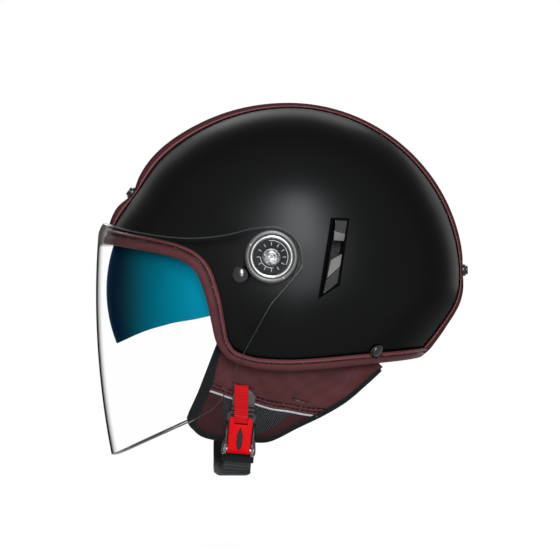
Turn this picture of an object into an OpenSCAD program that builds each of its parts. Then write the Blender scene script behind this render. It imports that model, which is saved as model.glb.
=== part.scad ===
// Open-face motorcycle helmet: shell with leather trim, clear visor on side pivots,
// drop-down sun visor, padded liner and ear flaps, and a ratchet chin buckle.
// Millimetres. +X points to the back of the head, -Y to the wearer's left, +Z up.
// The origin is where the top of the head touches the crown liner.

/* [Shell] */
// Front reach of the shell from its centre
shell_front = 147; // [143:0.5:160]
// Rear reach of the shell from its centre
shell_back = 133; // [128:0.5:145]
// Half width of the shell
shell_half_w = 122; // [119:0.5:130]
// Height of the crown above the shell's centre
shell_top = 132.5; // [126:0.5:145]
// Depth at which the lower curve would close under the centre
shell_bottom = 110; // [104:0.5:122]
// Wall of the shell
shell_wall = 3; // [2:0.1:3.4]
// General gap between pieces that lie against each other
fit = 0.3; // [0.2:0.05:0.5]

/* [Inner layers] */
// Thickness of the foam liner
foam_wall = 31; // [24:0.1:36]
// Thickness of the crown comfort liner
liner_wall = 7.6; // [5:0.2:10]
// Height of the foam's edge above the shell's rim, at the brim
foam_lift_brim = 4; // [3:0.5:8]
// Height of the foam's edge above the shell's rim, at the sides
foam_lift_side = 17; // [15:0.5:24]
// Radius of the neck roll
roll_r = 8.5; // [6:0.5:9.5]

/* [Edge trim] */
// Width of the trim on the outside, at the brim
trim_brim_w = 9; // [8:0.5:14]
// Width of the trim on the outside, at the lobe in front of the ear
trim_lobe_w = 9; // [8:0.5:13]
// Width of the trim on the outside, along the lower edge
trim_foot_w = 8; // [6:0.5:9]
// Height of the padded roll above the shell, at the sides
trim_pad = 3.6; // [2.5:0.1:4.5]
// Height of the padded roll above the shell, at the middle of the brim
trim_brim_pad = 2.4; // [2:0.1:2.6]
// Width of the trim's inner leg
trim_leg = 8; // [6:0.5:9]
// Thickness of the trim's inner leg
trim_skin = 0.8; // [0.6:0.1:1]

/* [Crown strip] */
// Width of the padded strip over the crown
strip_w = 36; // [24:1:50]
// Height of the strip's pad above the shell
strip_pad = 3.2; // [2.4:0.1:4]
// Press stud post radius
stud_r = 3.5; // [2.5:0.1:4]
// Press stud post height above its flange
stud_h = 2.5; // [1.5:0.1:4]
// Press stud flange radius
stud_flange_r = 4.7; // [4.4:0.1:6]

/* [Side vent] */
// Height of the vent opening
vent_h = 68; // [56:1:72]
// Width of the vent opening
vent_w = 15; // [13:0.5:20]
// Depth of the vent cup below the shell's surface
vent_depth = 9; // [6:0.5:12]
// Wall of the vent cup
vent_wall = 1.6; // [1:0.1:2]

/* [Visor pivot] */
// Pivot position along X from the shell's centre
pivot_x = -14.8; // [-18:0.2:-12]
// Pivot position above the shell's centre
pivot_z = 14.6; // [12:0.2:17]
// Radius of the fixed base under the visor's ear
base_r = 21; // [18:0.5:22]
// Height of the base above the shell
base_h = 3.6; // [3:0.1:5]
// Radius of the boss that the visor turns on
boss_r = 9; // [7:0.1:11]
// Outer radius of the gunmetal bezel
bezel_r = 20.7; // [19:0.1:21]
// Outer radius of the bright ring
bright_r = 16.7; // [15.6:0.1:17.5]
// Radius of the dial
dial_r = 14.8; // [13:0.1:15]
// Radius of the knurled centre screw
screw_r = 6.8; // [5.6:0.1:8]
// Radius of the screw's shank
shank_r = 3; // [2:0.1:3.5]

/* [Visor] */
// Wall of the clear visor
visor_wall = 2.2; // [1.6:0.1:2.4]
// Reach of the visor in front of the shell
visor_stand = 4.7; // [4:0.1:12]
// Radius of the visor's round ear
ear_r = 23.8; // [22.5:0.1:26]
// Radius of the domed stud on the visor
dome_r = 6; // [4:0.1:6.4]

/* [Sun visor] */
// Sun visor's axis along X from the shell's centre
sun_x = -31.6; // [-33:0.2:-30]
// Height of the sun visor's axis above the shell's centre
sun_z = -10.9; // [-12:0.1:-9]
// Gap between the visor and the sun visor, at the middle
sun_front_gap = 5.9; // [5.7:0.1:10]
// Depth of the sun visor's sides inside the shell's half width
sun_side_gap = 18; // [16:0.5:21]
// Wall of the sun visor
sun_wall = 2; // [1.4:0.1:2.2]
// Radius of the sun visor's hub discs
sun_hub_r = 16; // [12:0.5:18]
// Radius of the sun visor's pins
sun_pin_r = 3; // [2:0.1:4]

/* [Ear flap] */
// Padded thickness of the flap
flap_pad = 8; // [5:0.5:10]
// Thickness of the flap at its edge
flap_edge = 5; // [4:0.5:6]
// Inward lean of the flap per millimetre of drop
flap_lean = 0.3; // [0.2:0.02:0.4]
// Width of the black binding on the flap's edge
binding_w = 3; // [2:0.5:5]
// Thickness of the cheek pad
cheek_pad_t = 14; // [8:1:18]

/* [Chin strap] */
// Width of the webbing
strap_w = 21; // [16:1:21]
// Thickness of the webbing
strap_t = 1.8; // [1.2:0.1:2]
// Middle of the buckle along X from the shell's centre
buckle_x = -39; // [-42:0.5:-36]
// Slant of the buckle in degrees, its lower end towards the front
buckle_slant = 5; // [0:0.5:8]
// Distance of the buckle's back plate from the middle plane
buckle_y = 93; // [92.5:0.5:96]
// Width of the buckle's base
buckle_w = 22.4; // [22:0.2:26]
// Length of the buckle's base
buckle_l = 34; // [32:0.5:40]
// Sheet thickness of the buckle's base
buckle_sheet = 1.5; // [1:0.1:2]
// Width of the ratchet tongue
tongue_w = 17.6; // [12:0.2:18]
// Thickness of the ratchet tongue
tongue_t = 2.8; // [2.2:0.1:3.2]
// Radius of the lever's hinge pin
pin_r = 2; // [1.4:0.1:2.2]
// Width of the red pull tab
tab_w = 12; // [8:0.5:14]

/* [Hidden] */
$fn = 48;

// Roundness of the side outline above and below the centre, and of the cross-sections
round_top = 1.97;
round_bottom = 1.64;
round_side = 2.35;

// Reach of the visor from the shell's centre, and the sun visor's swing radius and half width
visor_reach = shell_front + visor_stand;
sun_r = visor_reach - visor_wall - sun_front_gap + sun_x;
sun_half_w = shell_half_w - sun_side_gap;

// Depths of the layers below the shell's surface, and the origin below the crown
leg_gap = 3 * fit;
trim_inside = shell_wall + leg_gap + trim_skin;
foam_depth = trim_inside + 3 * fit;
liner_depth = foam_depth + foam_wall + fit;
seat_drop = shell_top - liner_depth - liner_wall;

// Rim of the shell as seen from its centre: [angle from the front, angle above the horizon]
rim_angles = [[0, 10.6], [10, 10.5], [19.4, 10.1], [39, 8.3], [51.2, 6], [57.8, 1.6], [61, -7.2],
    [61.6, -15.5], [61.8, -24], [64.5, -30], [72, -33.5], [81, -34.8], [94, -34.9], [107.7, -34.2],
    [120, -33.2], [133, -32.3], [145, -31.8], [157, -31.5], [168, -31.4], [180, -31.4]];
rim_steps = 2;
rows = 9;
rim_half = (len(rim_angles) - 1) * rim_steps;
rim_n = 2 * rim_half;

// A unit direction, and the shell's surface along it, sunk by t
function dir(az, el) = [-cos(az) * cos(el), -sin(az) * cos(el), sin(el)];
function unit(v) = v / norm(v);
function clamp01(f) = max(0, min(1, f));
function mix(a, b, f) = a + (b - a) * f;
function reach_x(x) = x < 0 ? shell_front : shell_back;
function reach_z(z) = z > 0 ? shell_top : shell_bottom;
// The brow is flatter than the crown: the curve's power drops towards the front, most at brow_at degrees
brow_fade = 0.05;
brow_flat = 0.17;
brow_at = 27;
brow_span = 11;
function ease(f) = let (g = clamp01(f)) g * g * (3 - 2 * g);
function brow(a) = brow_fade * ease((90 - a) / 40) + brow_flat * exp(-pow((a - brow_at) / brow_span, 2));
function round_at(x, z) = z > 0 ? round_top - brow(atan2(z, -x)) : round_bottom;
function outline_sum(x, z, t) = let (m = round_at(x, z))
    pow(pow(abs(x) / (reach_x(x) - t), m) + pow(abs(z) / (reach_z(z) - t), m), round_side / m);
function skin_r(d, t = 0) =
    pow(outline_sum(d.x, d.z, t) + pow(abs(d.y) / (shell_half_w - t), round_side), -1 / round_side);
function skin_y(x, z, t = 0) =
    (shell_half_w - t) * pow(max(0, 1 - outline_sum(x, z, t)), 1 / round_side);
function sink(q, t = 0) = let (d = unit(q)) d * skin_r(d, t);
function on_left(x, z, t = 0) = [x, -skin_y(x, z, t), z];
function level(q) = norm(q) / skin_r(unit(q));
function skin_normal(q) = unit([level(q + [1, 0, 0]) - level(q - [1, 0, 0]),
    level(q + [0, 1, 0]) - level(q - [0, 1, 0]), level(q + [0, 0, 1]) - level(q - [0, 0, 1])]);

// A smooth curve between b and c, and along a list of points
function curve(a, b, c, d, f) =
    b + 0.5 * f * ((c - a) + f * ((2 * a - 5 * b + 4 * c - d) + f * (3 * b - a - 3 * c + d)));
function along(p, s) = let (n = len(p) - 1, i = min(floor(s), n - 1))
    curve(i > 0 ? p[i - 1] : 2 * p[0] - p[1], p[i], p[i + 1],
        i + 2 <= n ? p[i + 2] : 2 * p[n] - p[n - 1], s - i);

// The rim as a closed loop of points, and the direction away from the opening at each
rim_open = concat([[-rim_angles[1][0], rim_angles[1][1]]], rim_angles,
    [[360 - rim_angles[len(rim_angles) - 2][0], rim_angles[len(rim_angles) - 2][1]]]);
function rim_left(j) = let (i = min(floor(j / rim_steps), len(rim_angles) - 2))
    curve(rim_open[i], rim_open[i + 1], rim_open[i + 2], rim_open[i + 3], j / rim_steps - i);
function rim_turn(j) = j <= rim_half ? rim_left(j)
    : let (a = rim_left(rim_n - j)) [360 - a[0], a[1]];
rim = [for (j = [0:rim_n - 1]) let (a = rim_turn(j)) sink(dir(a[0], a[1]))];
rim_in = [for (j = [0:rim_n - 1])
    unit(cross(rim[j], rim[(j + 1) % rim_n] - rim[(j + rim_n - 1) % rim_n]))];
function rim_at(j, w, t) = sink(rim[j] + w * rim_in[j], t);

// Share of the way from the brim down to the lower edge, at each rim point
function rim_low(j) = clamp01(-rim[j].z / 50);
function foam_lift(j) = mix(foam_lift_brim, foam_lift_side, rim_low(j));

// Directions of a dome's grid: rows from the apex down, the last one along the rim lifted by lift(j)
// and the last but one a band's width above it
rim_band = trim_leg + 2;
function dome_dir(j, k, lift) = let (v = min(1, k / (rows - 1)),
    q = rim[j] + (lift + (k < rows ? rim_band : 0)) * rim_in[j], a = atan2(-q.y, -q.x),
    az = j >= rim_half && a < 0 ? a + 360 : a, el = asin(q.z / norm(q)))
    dir(mix(j * 360 / rim_n, az, v * v), mix(90, el, v));
function dome(radius, lift) = concat([[0, 0, radius([0, 0, 1])]],
    [for (k = [1:rows]) for (j = [0:rim_n - 1])
        let (d = dome_dir(j, k, lift(j))) d * radius(d)]);
dome_faces = concat([for (j = [0:rim_n - 1]) [0, 1 + (j + 1) % rim_n, 1 + j]],
    [for (k = [0:rows - 2]) for (j = [0:rim_n - 1])
        let (a = 1 + k * rim_n + j, b = 1 + k * rim_n + (j + 1) % rim_n)
        each [[a, b, b + rim_n], [a, b + rim_n, a + rim_n]]]);

// A closed shell between two domes on the same grid
module dome_shell(outer, inner, lift) {
    n = 1 + rows * rim_n;
    last = n - rim_n;
    polyhedron(concat(dome(outer, lift), dome(inner, lift)), concat(dome_faces,
        [for (f = dome_faces) [f[0] + n, f[2] + n, f[1] + n]],
        [for (j = [0:rim_n - 1]) let (a = last + j, b = last + (j + 1) % rim_n)
            each [[a, b + n, a + n], [a, b, b + n]]]));
}

// A closed slab between two grids of points; rows run down and columns to the right, seen from g
module slab(g, h) {
    nr = len(g);
    nc = len(g[0]);
    n = nr * nc;
    quads = [for (i = [0:nr - 2]) for (j = [0:nc - 2]) let (a = i * nc + j)
        each [[a, a + 1, a + nc + 1], [a, a + nc + 1, a + nc]]];
    edge = concat([for (j = [nc - 1:-1:0]) j], [for (i = [1:nr - 1]) i * nc],
        [for (j = [1:nc - 1]) (nr - 1) * nc + j], [for (i = [nr - 2:-1:1]) i * nc + nc - 1]);
    ne = len(edge);
    polyhedron(concat([for (r = g) each r], [for (r = h) each r]), concat(quads,
        [for (f = quads) [f[0] + n, f[2] + n, f[1] + n]],
        [for (k = [0:ne - 1]) let (a = edge[k], b = edge[(k + 1) % ne])
            each [[a, b, b + n], [a, b + n, a + n]]]));
}

// A closed tube through rings of points; a loop joins its ends, and otherwise fans close them
module tube(rings, loop = false) {
    nr = len(rings);
    m = len(rings[0]);
    last = loop ? nr - 1 : nr - 2;
    walls = [for (i = [0:last]) for (k = [0:m - 1])
        let (a = i * m + k, b = i * m + (k + 1) % m, c = ((i + 1) % nr) * m + k,
            d = ((i + 1) % nr) * m + (k + 1) % m)
        each [[a, b, d], [a, d, c]]];
    caps = loop ? [] : concat([for (k = [1:m - 2]) [0, k + 1, k]],
        [for (k = [1:m - 2]) (nr - 1) * m * [1, 1, 1] + [0, k, k + 1]]);
    polyhedron([for (r = rings) each r], concat(walls, caps));
}

// The block between the left side's surface, sunk by t, and the plane y = -far
module side_block(x0, x1, z0, z1, t, far) {
    nx = 6;
    nz = 8;
    skin = [for (i = [0:nz]) [for (j = [0:nx]) on_left(mix(x0, x1, j / nx), mix(z1, z0, i / nz), t)]];
    flat = [for (r = skin) [for (p = r) [p.x, -far, p.z]]];
    if (far > shell_half_w) slab(flat, skin);
    else slab(skin, flat);
}

module at_centre() { translate([0, 0, -seat_drop]) children(); }
module on_side(right) {
    at_centre()
        if (right) mirror([0, 1, 0]) children();
        else children();
}
// Puts children on the shell at the point q, with their Z along its normal
module on_skin(q, lift = 0) {
    n = skin_normal(q);
    translate(q + lift * n) rotate([0, acos(n.z), atan2(n.y, n.x)]) children();
}
// A round bar along Y on the left side, from y = -near out to y = -far
module bar(x, z, r, near, far) {
    translate([x, -near, z]) rotate([90, 0, 0]) cylinder(r = r, h = far - near);
}
module tube_bar(x, z, r, bore, near, far) {
    difference() {
        bar(x, z, r, near, far);
        bar(x, z, bore, near - 1, far + 1);
    }
}

// Outer shell, cut for the vents and for the pivot screws
vent_x = 31;
vent_z = 45;
vent_slant = 10;
vent_span = 20;
vent_out = [[-1, 1], [1, 1], [1, -1], [-1, -1]];
vent_outline = [[0, 0], [vent_w - 0.5, -0.5], [vent_w - 8, 16 - vent_h], [-vent_slant, 5 - vent_h]];
module vent_prism(grow, near, far) {
    translate([vent_x, -near, vent_z]) rotate([90, 0, 0]) linear_extrude(far - near)
        polygon([for (k = [0:3]) vent_outline[k] + grow * vent_out[k]]);
}
bore_gap = 0.2;
module outer_shell() color([0.05, 0.05, 0.055]) at_centre() difference() {
    dome_shell(function(d) skin_r(d), function(d) skin_r(d, shell_wall), function(j) 0);
    for (right = [false, true]) mirror([0, right ? 1 : 0, 0]) {
        vent_prism(0, shell_half_w / 2, shell_half_w * 2);
        bar(pivot_x, pivot_z, shank_r + bore_gap, shell_half_w / 2, shell_half_w * 2);
    }
}

// Foam liner, drawn in at the front so that the sun visor can slide up behind the shell
sun_gap = 1.5;
pocket_tilt = 20;
pocket_back = 30;
pocket_ramp = 8;
function pocket_side(q) = (sun_x - q.x) * cos(pocket_tilt) - (q.z - sun_z) * sin(pocket_tilt);
function pocket_r(d) = let (r2 = pow(sun_r - sun_wall - sun_gap, 2),
    b2 = pow(sun_half_w - sun_wall - sun_gap, 2), a = (d.x * d.x + d.z * d.z) / r2 + d.y * d.y / b2,
    b = -2 * (d.x * sun_x + d.z * sun_z) / r2, c = (sun_x * sun_x + sun_z * sun_z) / r2 - 1)
    (-b + sqrt(b * b - 4 * a * c)) / (2 * a);
function foam_r(d) = let (r = skin_r(d, foam_depth),
    w = clamp01((pocket_side(d * r) + pocket_back + pocket_ramp) / pocket_ramp))
    mix(r, min(r, pocket_r(d)), w);
module foam_liner() color([0.16, 0.16, 0.17]) at_centre() difference() {
    dome_shell(function(d) foam_r(d), function(d) skin_r(d, foam_depth + foam_wall),
        function(j) foam_lift(j));
    for (right = [false, true]) mirror([0, right ? 1 : 0, 0])
        vent_prism(2 * fit, shell_half_w - foam_depth - vent_depth - 4, shell_half_w * 2);
}

module crown_liner() color([0.12, 0.12, 0.13]) at_centre()
    dome_shell(function(d) skin_r(d, liner_depth), function(d) skin_r(d, liner_depth + liner_wall),
        function(j) foam_lift(j));

// Neck roll along the nape, inside the rim
roll_from = 16 * rim_steps;
roll_sides = 8;
roll_depth = trim_inside + roll_r + 2 * fit;
module neck_roll() color([0.13, 0.12, 0.12]) at_centre()
    tube([for (j = [roll_from:rim_n - roll_from]) let (end = min(j - roll_from, rim_n - roll_from - j),
        r = roll_r * (end == 0 ? 0.5 : end == 1 ? 0.85 : 1))
        [for (k = [0:roll_sides - 1]) let (a = k * 360 / roll_sides)
            rim_at(j, roll_r / 2 - 1 + r * cos(a), roll_depth + r * sin(a))]]);

// Edge trim: padded roll, stitched groove and piping bead outside, a flat leg inside
// The brim's trim narrows and its pad rises from these distances behind the shell's front
narrow_from = 47;
narrow_run = 25;
rise_from = 7;
rise_run = 40;
function brim_share(j, from, run) = clamp01((rim[j].x + shell_front - from) / run);
function trim_w(j) = rim[j].z > 0 ? mix(trim_brim_w, trim_lobe_w, brim_share(j, narrow_from, narrow_run))
    : mix(trim_lobe_w, trim_foot_w, rim_low(j));
lip = 2;
lay = 2 * fit;
function trim_h(j) = mix(trim_brim_pad, trim_pad, brim_share(j, rise_from, rise_run));
function trim_section(w, h) = [[w, -lay], [-fit, -lay], [-fit, shell_wall + leg_gap],
    [trim_leg, shell_wall + leg_gap], [trim_leg, trim_inside], [-lip / 2, trim_inside],
    [-lip, shell_wall / 2], [-lip, -h / 2],
    [w * 0.1, -h], [w * 0.5, -h * 0.95], [w * 0.66, -h * 0.6], [w * 0.84, -h * 0.8], [w, -h * 0.5]];
rivet_x = 66;
rivet_z = -57.5;
rivet_r = 4.6;
rivet_flange_r = 5.6;
rivet_h = 3.4;
rivet_at = on_left(rivet_x, rivet_z);
module edge_trim() color([0.24, 0.07, 0.08]) at_centre() difference() {
    tube([for (j = [0:rim_n - 1])
        [for (p = trim_section(trim_w(j), trim_h(j))) rim_at(j, p[0], p[1])]], loop = true);
    for (right = [false, true]) mirror([0, right ? 1 : 0, 0])
        on_skin(rivet_at) cylinder(r = rivet_flange_r + 2 * fit, h = 2 * trim_pad);
}

// Padded strip over the crown, drawn down at the press studs
strip_steps = 34;
stud_front_el = 27.5;
stud_rear_el = 178;
strip_from = rim_angles[0][1];
strip_to = 180 - rim_angles[len(rim_angles) - 1][1];
function arc_mm(mm) = mm * 180 / PI / shell_front;
strip_start = strip_from + arc_mm(trim_brim_w + 1.5);
strip_end = strip_to - arc_mm(trim_foot_w + 3);
function dip(a, at) = exp(-pow((a - at) / 5, 2));
function strip_h(a) = strip_pad * (1.12 - 0.35 * dip(a, stud_front_el) - 0.35 * dip(a, stud_rear_el)
    - 0.3 * dip(a, strip_start) - 0.3 * dip(a, strip_end));
strip_shape = [[-1, 0.5], [-0.9, 0.8], [-0.75, 0.6], [-0.4, 1], [0.4, 1], [0.75, 0.6], [0.9, 0.8], [1, 0.5]];
function strip_ring(a) = let (q = sink(dir(0, a)), h = strip_h(a))
    concat([for (p = strip_shape) sink(q + [0, p[0] * strip_w / 2, 0], -lay - p[1] * (h - lay))],
        [for (s = [1, 0.33, -0.33, -1]) sink(q + [0, s * strip_w / 2, 0], -lay)]);
stud_front = sink(dir(0, stud_front_el));
stud_rear = sink(dir(0, stud_rear_el));
stud_hole = 2 * fit;
module crown_strip() color([0.22, 0.06, 0.07]) at_centre() difference() {
    tube([for (i = [0:strip_steps]) strip_ring(mix(strip_start, strip_end, i / strip_steps))]);
    for (q = [stud_front, stud_rear])
        on_skin(q, -shell_wall) cylinder(r = stud_flange_r + stud_hole, h = shell_wall + 4 * strip_pad);
}
module press_stud(q) color([0.3, 0.3, 0.32]) at_centre() on_skin(q, 2 * fit) {
    cylinder(r = stud_flange_r, h = strip_pad);
    translate([0, 0, strip_pad]) cylinder(r = stud_r, h = stud_h);
}
module front_stud() press_stud(stud_front);
module rear_stud() press_stud(stud_rear);

// Side vent: a cup let into the shell, with two slanted plates and a hole between them
cup_top = skin_y(vent_x, vent_z);
cup_floor = cup_top - vent_depth;
module vent_cup(right) color([0.03, 0.03, 0.03]) on_side(right) difference() {
    vent_prism(-fit, cup_floor, shell_half_w + 4);
    vent_prism(-fit - vent_wall, cup_floor + vent_wall, shell_half_w + 5);
    vent_prism(-fit - vent_wall - 2, cup_floor - 1, shell_half_w + 5);
    side_block(vent_x - vent_span, vent_x + vent_span, vent_z - vent_h, vent_z + 8, fit, shell_half_w + 6);
}
// The plates' outline in [depth above the cup's ledge, height], lower half
fin_mid = vent_z - vent_h * 0.384;
fin_sink = 1.2;
function fin_profile(up) = [for (p = [[0, 4], [1.2, 4], [5, 12], [5, 40], [0, 40]])
    [cup_floor + vent_wall + p[0], fin_mid + up * p[1]]];
module vent_fins(right) color([0.23, 0.23, 0.24]) on_side(right) difference() {
    intersection() {
        vent_prism(-vent_wall - 2 * fit, cup_floor + vent_wall, shell_half_w);
        for (up = [-1, 1]) translate([vent_x - 2 * vent_span, 0, 0]) rotate([90, 0, 90])
            linear_extrude(4 * vent_span) polygon([for (p = fin_profile(up)) [-p[0], p[1]]]);
    }
    side_block(vent_x - vent_span, vent_x + vent_span, vent_z - vent_h, vent_z + 8, fin_sink,
        shell_half_w + 6);
}

// Visor pivot: base and boss on the shell, then bezel, bright ring, dial and screw on the boss
pivot_y = skin_y(pivot_x, pivot_z);
base_top = pivot_y + base_h;
ear_in = base_top + fit;
ear_out = ear_in + visor_wall;
boss_top = ear_out + fit;
bezel_floor = 0.8;
bezel_h = 2.8;
dial_h = 1.6;
module pivot_base(right) color([0.1, 0.1, 0.1]) on_side(right) difference() {
    union() {
        bar(pivot_x, pivot_z, base_r, pivot_y - 6, base_top);
        bar(pivot_x, pivot_z, boss_r, pivot_y - 6, boss_top);
    }
    bar(pivot_x, pivot_z, shank_r + bore_gap, pivot_y - 10, boss_top + 1);
    side_block(pivot_x - base_r - 4, pivot_x + base_r + 4, pivot_z - base_r - 4, pivot_z + base_r + 4,
        -fit, shell_half_w / 2);
}
module pivot_bezel(right) color([0.2, 0.2, 0.21]) on_side(right) {
    tube_bar(pivot_x, pivot_z, bezel_r, shank_r + bore_gap, boss_top, boss_top + bezel_floor);
    tube_bar(pivot_x, pivot_z, bezel_r, bright_r + bore_gap, boss_top + bezel_floor / 2, boss_top + bezel_h);
}
module pivot_bright_ring(right) color([0.8, 0.8, 0.82]) on_side(right)
    tube_bar(pivot_x, pivot_z, bright_r, dial_r + bore_gap, boss_top + bezel_floor, boss_top + bezel_h + 0.5);
module pivot_dial(right) color([0.03, 0.03, 0.03]) on_side(right)
    tube_bar(pivot_x, pivot_z, dial_r, screw_r + bore_gap, boss_top + bezel_floor,
        boss_top + bezel_floor + dial_h);
module pivot_screw(right) color([0.7, 0.7, 0.72]) on_side(right) {
    bar(pivot_x, pivot_z, screw_r, boss_top + bezel_floor, boss_top + bezel_h + 1);
    bar(pivot_x, pivot_z, shank_r, pivot_y - foam_depth + 1.2, boss_top + bezel_h);
}

module strap_rivet(right) color([0.12, 0.12, 0.12]) on_side(right) on_skin(rivet_at, fit) {
    cylinder(r = rivet_flange_r, h = 1);
    intersection() {
        cylinder(r = rivet_r, h = rivet_h);
        translate([0, 0, rivet_h - 2 * rivet_r]) sphere(r = 2 * rivet_r);
    }
}

// Clear visor: upright, slightly barrelled front that runs back along the sides to its ears
visor_square = 2.3;
visor_bulge = 0.00079;
visor_mid_z = -15;
lip_z = 31;
lip_curl = 0.03;
visor_top = [[-150, 41], [-125, 35], [-100, 31], [-75, 29.5], [-50, 32], [-32, 36.5],
    [pivot_x, pivot_z + ear_r]];
visor_foot = [[-140, -138], [-124, -133.5], [-99, -122.5], [-86, -116], [-72, -104.5], [-60, -92.5],
    [-51, -77], [-43, -57.5], [-25, -26], [pivot_x, pivot_z - ear_r]];
visor_turns = [0, 8, 16, 24, 32, 40, 48, 56, 63, 69, 74, 78, 82, 85, 87.5, 90];
visor_columns = concat([for (k = [len(visor_turns) - 1:-1:1]) -visor_turns[k]], visor_turns);
visor_rows = 9;
function visor_front(z) = visor_reach - visor_bulge * pow(z - visor_mid_z, 2)
    - lip_curl * pow(max(0, z - lip_z), 2) + pivot_x;
function visor_pt(turn, v, t) = let (c = pow(max(0, cos(turn)), 2 / visor_square),
    s = sign(turn) * pow(abs(sin(turn)), 2 / visor_square), x = pivot_x - c * visor_front(visor_mid_z),
    z = mix(lookup(x, visor_top), lookup(x, visor_foot), v))
    [pivot_x - c * (visor_front(z) - t), -s * (ear_out - t), z];
function visor_grid(t) = [for (i = [0:visor_rows]) [for (a = visor_columns) visor_pt(a, i / visor_rows, t)]];
dome_x = -39.4;
dome_z = 1.6;
dome_turn = acos(pow((pivot_x - dome_x) / visor_front(dome_z), visor_square / 2));
dome_y = ear_out * pow(sin(dome_turn), 2 / visor_square);
dome_hole_r = 2.3;
dome_seat = 1.1;
dome_h = 3.2;
module visor() color([0.85, 0.9, 0.92, 0.35]) at_centre() difference() {
    union() {
        slab(visor_grid(0), visor_grid(visor_wall));
        for (right = [false, true]) mirror([0, right ? 1 : 0, 0])
            bar(pivot_x, pivot_z, ear_r, ear_in, ear_out);
    }
    for (right = [false, true]) mirror([0, right ? 1 : 0, 0]) {
        bar(pivot_x, pivot_z, boss_r + bore_gap, pivot_y - 10, ear_out + 5);
        bar(pivot_x, pivot_z, ear_r + 1, pivot_y - 10, ear_in);
        bar(dome_x, dome_z, dome_hole_r, pivot_y - 20, ear_out + 5);
    }
}
module visor_stud(right) color([0.35, 0.35, 0.37]) on_side(right) {
    bar(dome_x, dome_z, dome_hole_r - bore_gap, dome_y - visor_wall - 2, dome_y + dome_seat + 0.5);
    bar(dome_x, dome_z, dome_hole_r + 1, dome_y - visor_wall - 2, dome_y - visor_wall - dome_seat);
    translate([dome_x, -dome_y - dome_seat, dome_z]) rotate([90, 0, 0]) intersection() {
        cylinder(r = dome_r, h = dome_h);
        translate([0, 0, dome_h - 2 * dome_r]) sphere(r = 2 * dome_r);
    }
}

// Sun visor: part of an ellipsoid that turns about its own axis, with hubs and pins at the sides
sun_low = -22;
sun_high = 30;
sun_spread_low = 23;
sun_spread_high = 15;
sun_wide_r = 75;
sun_columns = 24;
sun_rows = 9;
sun_end = acos(sun_hub_r / sun_r);
function sun_share(r) = pow(clamp01((sun_wide_r - r) / (sun_wide_r - sun_hub_r)), 1.5);
function sun_pt(a, v, t) = let (r = (sun_r - t) * cos(a), s = sun_share(sun_r * cos(a)),
    b = mix(sun_high + sun_spread_high * s, sun_low - sun_spread_low * s, v))
    [sun_x - r * cos(b), -(sun_half_w - t) * sin(a), sun_z + r * sin(b)];
function sun_grid(t) = [for (i = [0:sun_rows])
    [for (j = [0:sun_columns]) sun_pt(mix(-sun_end, sun_end, j / sun_columns), i / sun_rows, t)]];
sun_hub_y = sun_half_w * sin(sun_end);
sun_pin_l = 8;
sun_pin_gap = 0.1;
module sun_visor() color([0.02, 0.3, 0.4]) at_centre() slab(sun_grid(0), sun_grid(sun_wall));
module sun_visor_hubs() color([0.05, 0.05, 0.06]) at_centre()
    for (right = [false, true]) mirror([0, right ? 1 : 0, 0]) {
        bar(sun_x, sun_z, sun_hub_r * (1 - sun_wall / sun_r) - fit, sun_hub_y - sun_wall, sun_hub_y);
        bar(sun_x, sun_z, sun_pin_r, sun_hub_y - sun_wall, sun_hub_y + sun_pin_l);
    }
module sun_bracket(right) color([0.08, 0.08, 0.08]) on_side(right) difference() {
    bar(sun_x, sun_z, 3 * sun_pin_r, sun_hub_y + 2 * fit, shell_half_w - shell_wall / 2);
    bar(sun_x, sun_z, sun_pin_r + sun_pin_gap, sun_hub_y, sun_hub_y + sun_pin_l + 2 * fit);
    dome_shell(function(d) skin_r(d, -3 * shell_wall), function(d) skin_r(d, shell_wall + fit),
        function(j) 0);
}

// Ear flap: hangs from inside the rim; u runs from front to rear and v from the rim down
flap_first = 8 * rim_steps;
flap_last = 15 * rim_steps;
flap_tuck = trim_leg - 1;
flap_depth = trim_inside + 2 * fit;
flap_foot = [[-79.5, -112.5], [-68.5, -123], [-50, -127], [-33, -127], [-16, -126.5], [6, -115.5],
    [26, -105.5], [43, -95], [58, -82.5], [71.5, -70.5]];
flap_columns = 20;
flap_rows = 7;
function rim_mix(s, w, t) = let (i = min(floor(s), rim_half - 1))
    mix(rim_at(i, w, t), rim_at(i + 1, w, t), s - i);
function flap_hem(u, t) = rim_mix(mix(flap_first, flap_last, u), -lip - 1.5, flap_depth + t);
function flap_low(u) = let (p = along(flap_foot, u * (len(flap_foot) - 1)), q = flap_hem(u, 0))
    [p[0], q.y + flap_lean * (q.z - p[1]), p[1]];
function flap_pad_at(u, v) = flap_edge + (flap_pad - flap_edge) * pow(clamp01(4 * u * (1 - u))
    * clamp01(3 * v) * clamp01(4 * (1 - v)), 0.5);
function flap_pt(u, v) = let (q = mix(flap_hem(u, 0), flap_low(u), v)) q - [0, 2.5 * sin(180 * v), 0];
function flap_grid(back) = concat(
    [[for (j = [0:flap_columns]) rim_mix(mix(flap_first, flap_last, j / flap_columns), flap_tuck,
        flap_depth + (back ? flap_edge : 0))]],
    [for (i = [0:flap_rows]) [for (j = [0:flap_columns]) let (u = j / flap_columns, v = i / flap_rows)
        flap_pt(u, v) + (back ? [0, flap_pad_at(u, v), 0] : [0, 0, 0])]]);
module ear_flap(right) color([0.26, 0.08, 0.09]) on_side(right) slab(flap_grid(false), flap_grid(true));

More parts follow.
